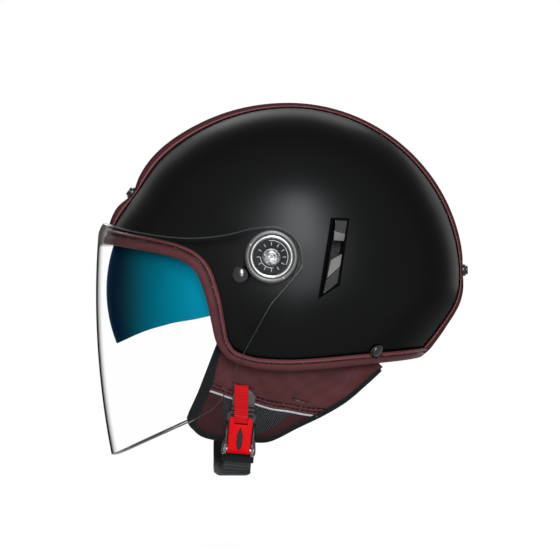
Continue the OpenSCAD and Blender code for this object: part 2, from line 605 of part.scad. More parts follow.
// Black binding round the flap's front, lower and rear edge
binding_gap = 0.4;
binding_path = concat([for (k = [1:6]) [0, k / 7]], [for (k = [0:24]) [k / 24, 1]]);
function binding_mid(k) = let (p = binding_path[k])
    flap_pt(p[0], p[1]) + [0, flap_pad_at(p[0], p[1]) / 2, 0];
function binding_ring(k) = let (n = len(binding_path) - 1, q = binding_mid(k),
    run = unit(binding_mid(min(k + 1, n)) - binding_mid(max(k - 1, 0))), out = unit([run.z, 0, -run.x]))
    [for (p = [[binding_gap, -1], [binding_w - 1, -1], [binding_w, 0], [binding_w - 1, 1], [binding_gap, 1]])
        q + p[0] * out + [0, p[1] * flap_edge / 2, 0]];
module flap_binding(right) color([0.03, 0.03, 0.03]) on_side(right)
    tube([for (k = [0:len(binding_path) - 1]) binding_ring(k)]);

// A thin panel laid on the flap's outer face, between two curves of [u, v]
panel_t = 0.7;
panel_gap = 0.5;
module flap_panel(upper, lower, columns) {
    rows_of = [for (f = [0, 0.5, 1]) [for (j = [0:columns]) let (s = j / columns,
        a = along(upper, s * (len(upper) - 1)), b = along(lower, s * (len(lower) - 1)), p = mix(a, b, f))
        flap_pt(p[0], p[1])]];
    slab([for (r = rows_of) [for (q = r) q - [0, panel_gap + panel_t, 0]]],
        [for (r = rows_of) [for (q = r) q - [0, panel_gap, 0]]]);
}
reflector_mid = [[0.02, 0.545], [0.1, 0.496], [0.2, 0.483], [0.35, 0.523], [0.45, 0.59], [0.53, 0.73],
    [0.6, 0.9]];
reflector_half = 0.02;
module flap_reflector(right) color([0.65, 0.68, 0.72]) on_side(right)
    flap_panel([for (p = reflector_mid) p - [0, reflector_half]],
        [for (p = reflector_mid) p + [0, reflector_half]], 14);
mesh_upper = [[0.17, 0.515], [0.26, 0.522], [0.35, 0.555], [0.43, 0.605], [0.5, 0.7]];
mesh_lower = [[0.2, 0.93], [0.27, 0.94], [0.35, 0.93], [0.43, 0.86], [0.5, 0.78]];
module flap_mesh(right) color([0.05, 0.05, 0.05]) on_side(right) flap_panel(mesh_upper, mesh_lower, 6);

// Cheek pad: a crowned cushion on the flap's inner face
cheek_u = [0.12, 0.72];
cheek_v = [0.1, 0.86];
cheek_columns = 14;
cheek_rows = 9;
function cheek_grid(back) = [for (i = [0:cheek_rows]) [for (j = [0:cheek_columns])
    let (a = i / cheek_rows, b = j / cheek_columns, draw = 0.05 * sin(180 * a),
        u = mix(cheek_u[0] + draw, cheek_u[1] - draw, b), v = mix(cheek_v[0], cheek_v[1], a),
        crown = pow(clamp01(sin(180 * a) * sin(180 * b)), 0.45))
    flap_pt(u, v) + [0, flap_pad_at(u, v) + panel_gap + (back ? 2 + (cheek_pad_t - 2) * crown : 0), 0]]];
module cheek_pad(right) color([0.14, 0.13, 0.13]) on_side(right) slab(cheek_grid(false), cheek_grid(true));

// Buckle: a folded steel base on the left strap, with a hinged lever over the ratchet tongue
base_top_z = -105;
base_low_z = base_top_z - buckle_l;
plate_out = buckle_y + buckle_sheet;
tongue_in = plate_out + fit;
tongue_out = tongue_in + tongue_t;
pin_gap = 0.05;
knuckle_r = pin_r + 1.2;
pin_y = tongue_out + 0.5 + knuckle_r;
pin_z = base_low_z + 4.7;
wall_out = pin_y + knuckle_r - 0.6;
lever_w = buckle_w - 2 * buckle_sheet - 2 * fit;
lever_top_z = base_top_z - 6;
module across(x0, x1, y, z, r) { translate([x0, -y, z]) rotate([0, 90, 0]) cylinder(r = r, h = x1 - x0); }
module plate(w, y0, y1, z0, z1) { translate([buckle_x - w / 2, -y1, z0]) cube([w, y1 - y0, z1 - z0]); }
// The whole buckle hangs at a slant about the top of its base
function slanted(p) = [buckle_x + sin(buckle_slant) * (p.z - base_top_z), p.y,
    base_top_z + cos(buckle_slant) * (p.z - base_top_z)];
module on_slant() at_centre() translate([buckle_x, 0, base_top_z]) rotate([0, buckle_slant, 0])
    translate([-buckle_x, 0, -base_top_z]) children();
module buckle_base() color([0.06, 0.06, 0.06]) on_slant() difference() {
    union() {
        plate(buckle_w, buckle_y, plate_out, base_low_z, base_top_z);
        for (s = [-1, 1]) translate([s * (buckle_w - buckle_sheet) / 2, 0, 0])
            plate(buckle_sheet, buckle_y, wall_out, base_low_z, base_top_z - 8);
    }
    across(buckle_x - buckle_w, buckle_x + buckle_w, pin_y, pin_z, pin_r + pin_gap);
}
module buckle_pin() color([0.6, 0.6, 0.62]) on_slant()
    across(buckle_x - buckle_w / 2 - 0.5, buckle_x + buckle_w / 2 + 0.5, pin_y, pin_z, pin_r);

// Torsion spring round the pin, between the lever's knuckles
spring_turns = 4;
spring_wire = 0.35;
spring_r = pin_r + 0.75;
spring_l = 5;
spring_slot = spring_l + 3;
function spring_pt(k) = let (a = k * 45) [buckle_x + spring_l * (k / (8 * spring_turns) - 0.5),
    -pin_y + spring_r * cos(a), pin_z + spring_r * sin(a)];
function spring_ring(k) = let (a = k * 45, q = spring_pt(k)) [for (s = [0:5])
    q + spring_wire * (cos(s * 60) * [1, 0, 0] + sin(s * 60) * [0, cos(a), sin(a)])];
echo(spring_gap = spring_l / spring_turns - 2 * spring_wire);
module buckle_spring() color([0.7, 0.7, 0.7]) on_slant()
    tube([for (k = [0:8 * spring_turns]) spring_ring(k)]);

// Lever: side profile in [y, z], carried across its width and cut for the spring and the pull tab
lever_in = tongue_out + 0.6;
lever_out = pin_y + knuckle_r;
tab_gap = 0.4;
clevis_w = 2.8;
clevis_h = 3.5;
clevis_step = 0.8;
module buckle_lever() color([0.75, 0.04, 0.05]) on_slant() difference() {
    union() {
        plate(lever_w, lever_in, lever_out, pin_z, lever_top_z);
        across(buckle_x - lever_w / 2, buckle_x + lever_w / 2, pin_y, pin_z, knuckle_r);
        for (s = [-1, 1]) translate([s * (lever_w - clevis_w) / 2, 0, 0])
            plate(clevis_w, lever_in + clevis_step, lever_out - clevis_step,
                lever_top_z - 1, lever_top_z + clevis_h);
    }
    across(buckle_x - buckle_w, buckle_x + buckle_w, pin_y, pin_z, pin_r + pin_gap);
    across(buckle_x - spring_slot / 2, buckle_x + spring_slot / 2, pin_y, pin_z, knuckle_r + 0.4);
}
grip_h = 0.8;
grip_r = 2.9;
grip_off = 3;
module lever_grip() color([0.04, 0.04, 0.04]) on_slant()
    for (k = [-1, 1]) translate([buckle_x, -lever_out, (pin_z + lever_top_z) / 2 + k * grip_off])
        rotate([90, 0, 0]) cylinder(r = grip_r, h = grip_h);
tab_l = 26;
tab_t = 2.6;
module pull_tab() color([0.72, 0.03, 0.05]) on_slant()
    translate([buckle_x - tab_w / 2, 0, 0]) rotate([90, 0, 90]) linear_extrude(tab_w)
        polygon([for (p = [[0, tab_gap], [tab_t, tab_gap], [tab_t - 0.8, tab_l], [-0.8, tab_l]])
            [-lever_in - clevis_step - p[0], lever_top_z + p[1]]]);

// Ratchet tongue: a ladder of sloped teeth that passes under the lever
tooth = 2.6;
teeth = 11;
tongue_reach = 18;
tip_z = base_top_z + tongue_reach;
tail_z = base_low_z - 1;
teeth_from = base_low_z + 8;
tooth_h = 0.9;
module ratchet_tongue() color([0.16, 0.16, 0.17]) on_slant()
    translate([buckle_x - tongue_w / 2, 0, 0]) rotate([90, 0, 90]) linear_extrude(tongue_w)
        polygon(concat([[-tongue_in, tail_z], [-tongue_in, tip_z - 2], [-tongue_in - 1, tip_z],
            [-tongue_out + tooth_h, tip_z], [-tongue_out + tooth_h, teeth_from + teeth * tooth]],
            [for (k = [teeth - 1:-1:0]) each [[-tongue_out, teeth_from + (k + 0.9) * tooth],
                [-tongue_out + tooth_h, teeth_from + k * tooth]]],
            [[-tongue_out + tooth_h, tail_z]]));

// Webbing swept along a route of points, flat across X
function web_ring(p, k) = let (n = len(p) - 1, run = unit(p[min(k + 1, n)] - p[max(k - 1, 0)]),
    flat = unit([1, 0, 0] - run.x * run), out = cross(run, flat))
    [for (s = [[-1, -1], [1, -1], [1, 1], [-1, 1]])
        p[k] + s[0] * strap_w / 2 * flat + s[1] * strap_t / 2 * out];
strap_y = tongue_in + strap_t / 2;
slit = flap_pt(0.24, 0.26);
slit_off = 3;
strap_low_z = tail_z - fit;
strap_end = [[0, 0], [0, 9.5], [1.5, 12.5], [5, 14.5]];
strap_route = concat([for (p = strap_end) slanted([buckle_x, p[0] - strap_y, strap_low_z - p[1]])],
    [[buckle_x - 5, -70, -156], [-46, -40, -156.5], [-48, 0, -156], [-49.5, 35, -154.5], [-50, 62, -150],
    [-50, 78, -142], [-50, 85.5, -130], [-49, 89, -116], [-45, 91, -100],
    [slit.x, slit_off - slit.y, slit.z]]);
strap_steps = 3;
module webbing(route) {
    fine = [for (k = [0:(len(route) - 1) * strap_steps]) along(route, k / strap_steps)];
    tube([for (k = [0:len(fine) - 1]) web_ring(fine, k)]);
}
module chin_strap_right() color([0.05, 0.05, 0.05]) at_centre() webbing(strap_route);
plate_mid = buckle_y + buckle_sheet / 2;
module chin_strap_left() color([0.05, 0.05, 0.05]) at_centre()
    webbing(concat([[slit.x, slit.y - slit_off, slit.z]],
        [for (p = [[1, 12], [0, 6], [0, fit]]) slanted([buckle_x, p[0] - plate_mid, base_top_z + p[1]])]));
keeper_wall = 1.6;
keeper_l = 7;
keeper_gap = 0.3;
module strap_keeper() color([0.07, 0.07, 0.07]) on_slant() difference() {
    plate(strap_w + 2 * (keeper_gap + keeper_wall), strap_y - strap_t / 2 - keeper_gap - keeper_wall,
        strap_y + strap_t / 2 + keeper_gap + keeper_wall, strap_low_z - 1.5 - keeper_l, strap_low_z - 1.5);
    plate(strap_w + 2 * keeper_gap, strap_y - strap_t / 2 - keeper_gap, strap_y + strap_t / 2 + keeper_gap,
        strap_low_z - 3 - keeper_l, strap_low_z);
}

outer_shell();
foam_liner();
crown_liner();
neck_roll();
edge_trim();
crown_strip();
front_stud();
rear_stud();
vent_cup(false);  // vent_cup_left
vent_cup(true);  // vent_cup_right
vent_fins(false);  // vent_fins_left
vent_fins(true);  // vent_fins_right
pivot_base(false);  // pivot_base_left
pivot_base(true);  // pivot_base_right
pivot_bezel(false);  // pivot_bezel_left
pivot_bezel(true);  // pivot_bezel_right
pivot_bright_ring(false);  // pivot_bright_ring_left
pivot_bright_ring(true);  // pivot_bright_ring_right
pivot_dial(false);  // pivot_dial_left
pivot_dial(true);  // pivot_dial_right
pivot_screw(false);  // pivot_screw_left
pivot_screw(true);  // pivot_screw_right
strap_rivet(false);  // strap_rivet_left
strap_rivet(true);  // strap_rivet_right
sun_bracket(false);  // sun_bracket_left
sun_bracket(true);  // sun_bracket_right
ear_flap(false);  // ear_flap_left
ear_flap(true);  // ear_flap_right
flap_binding(false);  // flap_binding_left
flap_binding(true);  // flap_binding_right
flap_reflector(false);  // flap_reflector_left
flap_reflector(true);  // flap_reflector_right
flap_mesh(false);  // flap_mesh_left
flap_mesh(true);  // flap_mesh_right
cheek_pad(false);  // cheek_pad_left
cheek_pad(true);  // cheek_pad_right
chin_strap_left();
chin_strap_right();
buckle_base();
buckle_pin();
buckle_spring();
visor();
visor_stud(false);  // visor_stud_left
visor_stud(true);  // visor_stud_right
sun_visor();
sun_visor_hubs();
buckle_lever();
lever_grip();
pull_tab();
ratchet_tongue();
strap_keeper();
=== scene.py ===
import bmesh
import bpy
import numpy as np
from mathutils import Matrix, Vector


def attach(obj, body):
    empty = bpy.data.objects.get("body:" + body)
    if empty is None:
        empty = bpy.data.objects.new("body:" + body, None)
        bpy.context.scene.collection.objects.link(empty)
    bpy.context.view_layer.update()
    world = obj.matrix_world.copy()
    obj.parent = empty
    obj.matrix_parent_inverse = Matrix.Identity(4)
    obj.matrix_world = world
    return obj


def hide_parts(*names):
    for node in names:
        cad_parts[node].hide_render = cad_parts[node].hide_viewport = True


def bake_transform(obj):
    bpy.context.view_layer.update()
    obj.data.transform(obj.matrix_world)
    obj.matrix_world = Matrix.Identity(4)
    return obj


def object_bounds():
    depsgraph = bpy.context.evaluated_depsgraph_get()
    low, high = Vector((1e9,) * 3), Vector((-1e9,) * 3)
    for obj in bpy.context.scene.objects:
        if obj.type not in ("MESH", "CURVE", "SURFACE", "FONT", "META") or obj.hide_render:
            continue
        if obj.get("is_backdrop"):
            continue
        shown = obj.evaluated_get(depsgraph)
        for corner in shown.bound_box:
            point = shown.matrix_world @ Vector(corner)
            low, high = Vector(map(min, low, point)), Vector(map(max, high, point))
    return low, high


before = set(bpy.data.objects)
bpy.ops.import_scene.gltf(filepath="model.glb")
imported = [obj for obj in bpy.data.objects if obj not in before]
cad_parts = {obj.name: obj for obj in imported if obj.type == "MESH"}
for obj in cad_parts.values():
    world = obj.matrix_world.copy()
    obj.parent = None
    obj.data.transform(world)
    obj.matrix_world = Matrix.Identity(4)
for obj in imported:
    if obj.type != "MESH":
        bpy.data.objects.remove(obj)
cad_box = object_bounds()
scene = bpy.context.scene
scene.view_settings.view_transform = "Standard"

# The studio: a pale floor well below the helmet, white paper all round, and large soft lamps.
# The camera looks square on at the wearer's left side through a long lens.


class Wire:
    """One output in a finish's node tree. Arithmetic on wires and numbers adds Math nodes;
    node() adds any other node: its type, its settings, then the values or wires of its sockets."""

    def __init__(self, tree, socket=None):
        self.tree, self.socket = tree, socket

    def node(self, kind, settings=(), sockets=(), out=0):
        made = self.tree.nodes.new("ShaderNode" + kind)
        for name, value in dict(settings).items():
            if name == "stops":
                stops = made.color_ramp.elements
                for spot, _ in value[2:]:
                    stops.new(spot)
                for stop, (spot, colour) in zip(stops, value):
                    stop.position, stop.color = spot, colour
            else:
                setattr(made, name, value)
        for key, value in dict(sockets).items():
            if isinstance(value, Wire):
                self.tree.links.new(value.socket, made.inputs[key])
            else:
                made.inputs[key].default_value = value
        return Wire(self.tree, made.outputs[out])

    def maths(self, operation, *terms):
        return self.node("Math", {"operation": operation}, dict(enumerate(terms)))

    def least(self, low):
        return self.maths("MAXIMUM", self, low)

    def most(self, high):
        return self.maths("MINIMUM", self, high)

    def sine(self):
        return self.maths("SINE", self)

    def feed(self, key, node="Principled BSDF"):
        self.tree.links.new(self.socket, self.tree.nodes[node].inputs[key])

    def __add__(self, other):
        return self.maths("ADD", self, other)

    __radd__ = __add__

    def __sub__(self, other):
        return self.maths("SUBTRACT", self, other)

    def __rsub__(self, other):
        return self.maths("SUBTRACT", other, self)

    def __mul__(self, other):
        return self.maths("MULTIPLY", self, other)

    __rmul__ = __mul__

    def __truediv__(self, other):
        return self.maths("DIVIDE", self, other)

    def __rtruediv__(self, other):
        return self.maths("DIVIDE", other, self)

    def __pow__(self, other):
        return self.maths("POWER", self, other)

    def __rpow__(self, other):
        return self.maths("POWER", other, self)

    def __gt__(self, other):
        return self.maths("GREATER_THAN", self, other)

    def __lt__(self, other):
        return self.maths("LESS_THAN", self, other)


VIEW_MIDDLE, VIEW_WIDTH, CAMERA_AWAY = (-0.0082, -0.0911), 0.4368, 10.0
lens = bpy.data.cameras.new("long_lens")
lens.lens = lens.sensor_width * CAMERA_AWAY / VIEW_WIDTH
lens.clip_end = 60
camera = bpy.data.objects.new("camera", lens)
camera.location = (VIEW_MIDDLE[0], -CAMERA_AWAY, VIEW_MIDDLE[1])
camera.rotation_euler = (np.pi / 2, 0, 0)
scene.collection.objects.link(camera)
scene.camera = camera

LAMPS_AIM = Vector((0.0, 0.0, -0.09))
for name, spot, size, watts in (
        ("key_lamp", (0.12, -1.5, 0.62), (0.42, 0.85), 27), ("side_lamp", (0.12, -1.6, 0.0), (0.35, 0.6), 8),
        ("brow_lamp", (-0.55, 1.4, 0.6), (0.9, 0.9), 8), ("nape_lamp", (0.9, 1.5, 0.2), (0.9, 0.9), 8),
        ("top_lamp", (0.0, 1.45, 0.95), (1.0, 0.6), 12)):
    lamp = bpy.data.lights.new(name, "AREA")
    lamp.shape, lamp.energy = "RECTANGLE", watts
    lamp.size, lamp.size_y = size
    stand = bpy.data.objects.new(name, lamp)
    stand.location = spot
    stand.rotation_euler = (LAMPS_AIM - Vector(spot)).to_track_quat("-Z", "Y").to_euler()
    scene.collection.objects.link(stand)


def looked_at(start):
    """One for rays from the camera, off gloss or through clear sheets; nought for rays that only light."""
    eye, gloss, clear = [start.node("LightPath", out="Is " + kind + " Ray")
                         for kind in ("Camera", "Glossy", "Transmission")]
    return (eye + gloss + clear).most(1)


PAPER_LIGHT = 0.42
world = bpy.data.worlds.new("white_paper")
world.use_nodes = True
scene.world = world
(PAPER_LIGHT + (1 - PAPER_LIGHT) * looked_at(Wire(world.node_tree))).feed("Strength", "Background")
world.node_tree.nodes["Background"].inputs["Color"].default_value = (1, 1, 1, 1)


def grid_quads(rows, columns, loop=False, first=0):
    """The quads of a grid of points numbered row by row from first; loop joins the last column to
    the first."""
    i, j = np.meshgrid(np.arange(rows - 1), np.arange(columns if loop else columns - 1), indexing="ij")
    k = (j + 1) % columns
    return (first + np.stack([i * columns + j, i * columns + k, (i + 1) * columns + k, (i + 1) * columns + j],
                             -1).reshape(-1, 4)).tolist()


def circle(count):
    """Even angles round one turn, in radians."""
    return np.linspace(0, 2 * np.pi, count, endpoint=False)


def place(start):
    """The point's own Object coordinates, in metres."""
    return start.node("TexCoord", out="Object")


FLOOR_Z, FLOOR_REACH, FLOOR_RINGS, FLOOR_SPOKES = -0.30, 3.5, 24, 72
GLOW_NEAR, GLOW_FROM, GLOW_OVER = 0.78, 0.4, 1.6
reach, turn = np.meshgrid(np.linspace(0.01, FLOOR_REACH, FLOOR_RINGS), circle(FLOOR_SPOKES), indexing="ij")
floor_points = np.stack([reach * np.cos(turn), reach * np.sin(turn), np.full(reach.shape, FLOOR_Z)], -1)
floor_mesh = bpy.data.meshes.new("floor")
floor_faces = grid_quads(FLOOR_RINGS, FLOOR_SPOKES, loop=True) + [list(range(FLOOR_SPOKES - 1, -1, -1))]
floor_mesh.from_pydata(floor_points.reshape(-1, 3).tolist(), [], floor_faces)
floor = bpy.data.objects.new("floor", floor_mesh)
scene.collection.objects.link(floor)
floor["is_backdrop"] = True
floor_finish = bpy.data.materials.new("pale_floor")
floor_finish.use_nodes = True
tile = Wire(floor_finish.node_tree)
away = tile.node("VectorMath", {"operation": "LENGTH"}, {0: place(tile)}, out="Value")
lit = tile.node("BsdfDiffuse", {}, {"Color": (0.86, 0.86, 0.86, 1)})
glow = tile.node("Emission", {}, {"Color": (1, 1, 1, 1), "Strength": 1.06})
fade = ((away - GLOW_FROM).least(0) / GLOW_OVER * (1 - GLOW_NEAR) + GLOW_NEAR).most(1) * looked_at(tile)
floor_finish.node_tree.nodes.remove(floor_finish.node_tree.nodes["Principled BSDF"])
tile.node("MixShader", {}, {0: fade, 1: lit, 2: glow}).feed("Surface", "Material Output")
floor_mesh.materials.append(floor_finish)

# Outer shell: one thermoplastic moulding three millimetres thick, lacquered satin black.
# Its edge runs along the brim, down in front of the ear and round the nape; a long slanted hole
# on each side takes a vent, and everything else is screwed, riveted or glued to it.
ORIGIN = np.array([0.0, 0.0, -0.088])
SHELL_FRONT, SHELL_BACK, SHELL_HALF_W, SHELL_TOP, SHELL_BOTTOM = 147.0, 133.0, 122.0, 132.5, 110.0
SIDE_ROUND, CROWN_ROUND, CHIN_ROUND, EASE = 2.35, 1.97, 1.64, 40.0
BROW_FLAT, BROW_DENT, BROW_RISE, BROW_WIDE = 0.05, 0.17, 27.0, 11.0
SHELL_WALL, SHELL_ROWS, FIT = 3.0, 64, 0.3
HANDS = (("left", 1), ("right", -1))


def unit(v):
    """Vectors brought to length one, along the last axis."""
    return v / np.linalg.norm(v, axis=-1, keepdims=True)


def smooth_step(f):
    """Eased share, 0 to 1: three f squared less two f cubed."""
    f = np.clip(f, 0, 1)
    return f * f * (3 - 2 * f)


def bell(off, width):
    """One at nought, falling away on both sides: e to the power of minus the square of off over width."""
    return np.exp(-(off / width) ** 2)


def blend(a, b, f):
    """The value a share f of the way from a to b."""
    return a + (b - a) * f


def outline_sum(x, z, t):
    """Side outline: powers of x and z over the shell's reach, less the depth t. Above the middle the
    power is 1.97, less a little towards the flatter brow, and below it eases to 1.64; the sum is raised
    to the cross-section's power."""
    rise = np.degrees(np.arctan2(np.abs(z), -x))
    brow = BROW_FLAT * smooth_step((90 - rise) / 40) + BROW_DENT * bell(rise - BROW_RISE, BROW_WIDE)
    m = blend(CROWN_ROUND - brow, CHIN_ROUND, smooth_step(-z / EASE))
    across = np.abs(x) / (np.where(x < 0, SHELL_FRONT, SHELL_BACK) - t)
    up = np.abs(z) / (np.where(z > 0, SHELL_TOP, SHELL_BOTTOM) - t)
    return (across ** m + up ** m) ** (SIDE_ROUND / m)


def sink(q, t=0.0):
    """The points q moved along their own direction from the shell's centre to the surface at depth t, in
    four steps from a first guess."""
    d = unit(q)
    r = np.full(d.shape[:-1], 110.0)
    for _ in range(4):
        p = d * r[..., None]
        f = outline_sum(p[..., 0], p[..., 2], t) + (np.abs(p[..., 1]) / (SHELL_HALF_W - t)) ** SIDE_ROUND
        r = r * f ** (-1 / SIDE_ROUND)
    return d * r[..., None]


def side_y(x, z, t=0.0):
    """How far the surface at depth t lies from the middle plane at x and z."""
    return (SHELL_HALF_W - t) * np.maximum(0, 1 - outline_sum(x, z, t)) ** (1 / SIDE_ROUND)


def heading(az, el):
    """Unit directions from the centre: az degrees round from the front, el degrees above the horizon."""
    az, el = np.radians(az), np.radians(el)
    return np.stack([-np.cos(az) * np.cos(el), -np.sin(az) * np.cos(el), np.sin(el)], -1)


def skin_normal(q):
    """Outward unit normal of the surface through q, from the cross product of two small moves on it."""
    d = unit(q)
    side = unit(np.cross(d, np.where(np.abs(d[..., 2:]) > 0.9, [1.0, 0, 0], [0, 0, 1.0])))
    a, b = [sink(d + 0.004 * way) - sink(d - 0.004 * way) for way in (side, np.cross(side, d))]
    n = np.cross(a, b)
    return unit(n * np.sign((n * d).sum(-1, keepdims=True)))


def through(knots, s):
    """Catmull-Rom curve through the knots, with straight ends, at knot numbers s: each span is the
    cubic whose slope at a knot is half the step between that knot's neighbours."""
    p = np.asarray(knots, float)
    p = np.concatenate([[2 * p[0] - p[1]], p, [2 * p[-1] - p[-2]]])
    s = np.asarray(s, float)
    i = np.clip(np.floor(s).astype(int), 0, len(p) - 4)
    f = (s - i)[..., None]
    a, b, c, d = p[i], p[i + 1], p[i + 2], p[i + 3]
    return b + 0.5 * f * ((c - a) + f * ((2 * a - 5 * b + 4 * c - d) + f * (3 * b - a - 3 * c + d)))


RIM_HALF = np.array([
    [0, 10.6], [10, 10.5], [19.4, 10.1], [39, 8.3], [51.2, 6], [57.8, 1.6], [61, -7.2], [61.6, -15.5],
    [61.8, -24], [64.5, -30], [72, -33.5], [81, -34.8], [94, -34.9], [107.7, -34.2], [120, -33.2],
    [133, -32.3], [145, -31.8], [157, -31.5], [168, -31.4], [180, -31.4]])
RIM_STEPS = 8
RIM_COUNT = 2 * (len(RIM_HALF) - 1) * RIM_STEPS
rim_loop = np.concatenate([RIM_HALF, ([360, 0] + [-1, 1] * RIM_HALF[::-1])[1:]])
rim_loop = np.concatenate([rim_loop[-2:-1] - [360, 0], rim_loop, rim_loop[1:2] + [360, 0]])
rim_turn = through(rim_loop, 1 + np.arange(RIM_COUNT) / RIM_STEPS)
rim = sink(heading(rim_turn[:, 0], rim_turn[:, 1]))
rim_up = unit(np.cross(rim, np.roll(rim, -1, 0) - np.roll(rim, 1, 0)))


def rim_at(w, t, spot=slice(None)):
    """Points w millimetres up from the rim, away from the opening, at depth t; rows follow the rim."""
    w, t = np.broadcast_arrays(w, t)
    spread = (slice(None),) + (None,) * (w.ndim - 1)
    return sink(rim[spot][spread] + w[..., None] * rim_up[spot][spread], t)


def dome(shape, lift, rows):
    """A dome's grid: each column runs from near the crown to the rim lifted by lift, with the turn eased
    by the square of the share so that columns leave the crown evenly; shape puts directions on a surface."""
    foot = rim + np.asarray(lift)[..., None] * rim_up
    az = np.degrees(np.arctan2(-foot[:, 1], -foot[:, 0]))
    az = np.where((np.arange(RIM_COUNT) >= RIM_COUNT // 2) & (az < 0), az + 360, az)
    el = np.degrees(np.arcsin(foot[:, 2] / np.linalg.norm(foot, axis=-1)))
    v = (np.arange(1, rows + 1) / rows)[:, None]
    return shape(heading(blend(np.arange(RIM_COUNT) * 360 / RIM_COUNT, az, v * v), blend(90, el, v)))


def fan(ring, hub):
    """The triangles from each step of a ring of point numbers to the one point hub."""
    return np.stack([ring, np.roll(ring, -1), np.full(len(ring), hub)], -1).tolist()


def wall(ring, other):
    """The quads between two rings of point numbers."""
    return np.stack([ring, np.roll(ring, -1), np.roll(other, -1), other], -1).tolist()


def dome_solid(outer, inner):
    """Points and faces of the closed wall between two domes on the same grid, with a point at each crown."""
    rows, count = outer.shape[:2]
    n = rows * count
    points = np.concatenate([outer.reshape(-1, 3), inner.reshape(-1, 3), outer[:1].mean(1),
                             inner[:1].mean(1)])
    top = np.arange(count)
    foot = top + n - count
    faces = grid_quads(rows, count, loop=True) + grid_quads(rows, count, loop=True, first=n)
    return points, faces + wall(foot, foot + n) + fan(top, 2 * n) + fan(top + n, 2 * n + 1)


def new_object(name, points, faces):
    """An object at the origin whose mesh has these points, given in millimetres from the shell's centre,
    and these faces, turned outwards."""
    mesh = bpy.data.meshes.new(name)
    mesh.from_pydata((np.reshape(points, (-1, 3)) / 1000 + ORIGIN).tolist(), [], faces)
    work = bmesh.new()
    work.from_mesh(mesh)
    bmesh.ops.recalc_face_normals(work, faces=work.faces)
    work.to_mesh(mesh)
    work.free()
    thing = bpy.data.objects.new(name, mesh)
    scene.collection.objects.link(thing)
    return thing


def piece(name, points, faces, finish, body, slot, *nodes, crease=40):
    """A new piece: it gets its finish, rides on its body, if it has one, and stands for its CAD nodes;
    edges sharper than crease degrees stay sharp."""
    thing = new_object(name, points, faces)
    thing.data.shade_smooth()
    thing.data.set_sharp_from_angle(angle=np.radians(crease))
    thing.data.materials.append(finish)
    if body:
        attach(thing, body)
    if nodes:
        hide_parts(*nodes)
    return thing


def new_finish(name, fixed):
    """A material of one shader with its fixed values set; returns it and a first wire."""
    finish = bpy.data.materials.new(name)
    finish.use_nodes = True
    for key, value in fixed.items():
        finish.node_tree.nodes["Principled BSDF"].inputs[key].default_value = value
    return finish, Wire(finish.node_tree)


def coat(colour, rough, normal=None):
    """Feeds a finish's shader with its colour, its roughness and, where it has one, its bent normal."""
    colour.feed("Base Color")
    rough.feed("Roughness")
    if normal:
        normal.feed("Normal")


def cloud(start, scale, detail=3.0, rough=0.55):
    """Cloudy noise from 0 to 1 on Object coordinates, scale in cycles a metre."""
    return start.node("TexNoise", {}, {"Vector": place(start), "Scale": scale, "Detail": detail,
                                       "Roughness": rough})


def tint(factor, a, b, clamp=True):
    """Colour a turning into colour b as factor goes from 0 to 1, and past them where it isn't clamped."""
    return factor.node("Mix", {"data_type": "RGBA", "clamp_factor": clamp},
                       {0: factor, 6: (*a, 1), 7: (*b, 1)}, out=2)


def bump(height, depth):
    """A normal bent by a height from 0 to 1, of that depth in metres."""
    return height.node("Bump", {}, {"Strength": 1.0, "Distance": depth, "Height": height})


satin_black, start = new_finish("satin_black", {
    "Metallic": 1.0, "Specular Tint": (0.05, 0.05, 0.05, 1), "Coat Weight": 0.085, "Coat Roughness": 0.3,
    "Coat Tint": (1.0, 0.97, 0.93, 1)})
coat(tint(cloud(start, 9), (0.0049, 0.0052, 0.0055), (0.0061, 0.0064, 0.0067)),
     0.33 + 0.05 * cloud(start, 30), bump(cloud(start, 2600, 1), 0.000012))

VENT_X, VENT_Z, VENT_H, VENT_W, VENT_SLANT = 31.0, 45.0, 68.0, 15.0, 10.0
VENT_CORNERS = np.array([[0, 0], [VENT_W - 0.5, -0.5], [VENT_W - 8, 16 - VENT_H], [-VENT_SLANT, 5 - VENT_H]])
VENT_FAR = 150.0


def settle(thing):
    """Makes what a piece's modifiers do part of its mesh for good."""
    thing.data = bpy.data.meshes.new_from_object(thing.evaluated_get(bpy.context.evaluated_depsgraph_get()))
    thing.modifiers.clear()


def cut_out(thing, points, faces):
    """Takes a closed block of points, in millimetres from the shell's centre, out of a piece."""
    cutter = new_object("cutter", points, faces)
    cut = thing.modifiers.new("cut", "BOOLEAN")
    cut.operation, cut.solver, cut.object = "DIFFERENCE", "EXACT", cutter
    settle(thing)
    bpy.data.objects.remove(cutter)


def cut_vents(thing, grow, near):
    """Takes the two vents' openings out of a piece: the four-sided outline, grown by a margin, carried
    along Y from y = -near outwards, and its mirror image."""
    corners = VENT_CORNERS + grow * np.array([[-1, 1], [1, 1], [1, -1], [-1, -1]]) + [VENT_X, VENT_Z]
    rings = np.stack([np.stack([corners[:, 0], np.full(4, -y), corners[:, 1]], -1) for y in (near, VENT_FAR)])
    for _, hand in HANDS:
        cut_out(thing, rings.reshape(-1, 3) * [1, hand, 1],
                grid_quads(2, 4, loop=True) + [[0, 1, 2, 3], [4, 5, 6, 7]])


level_rim = np.zeros(RIM_COUNT)
shell = piece("shell", *dome_solid(dome(sink, level_rim, SHELL_ROWS),
                                   dome(lambda d: sink(d, SHELL_WALL), level_rim, SHELL_ROWS)),
              satin_black, "helmet", "shell_black", "outer_shell")
cut_vents(shell, 0, 60)

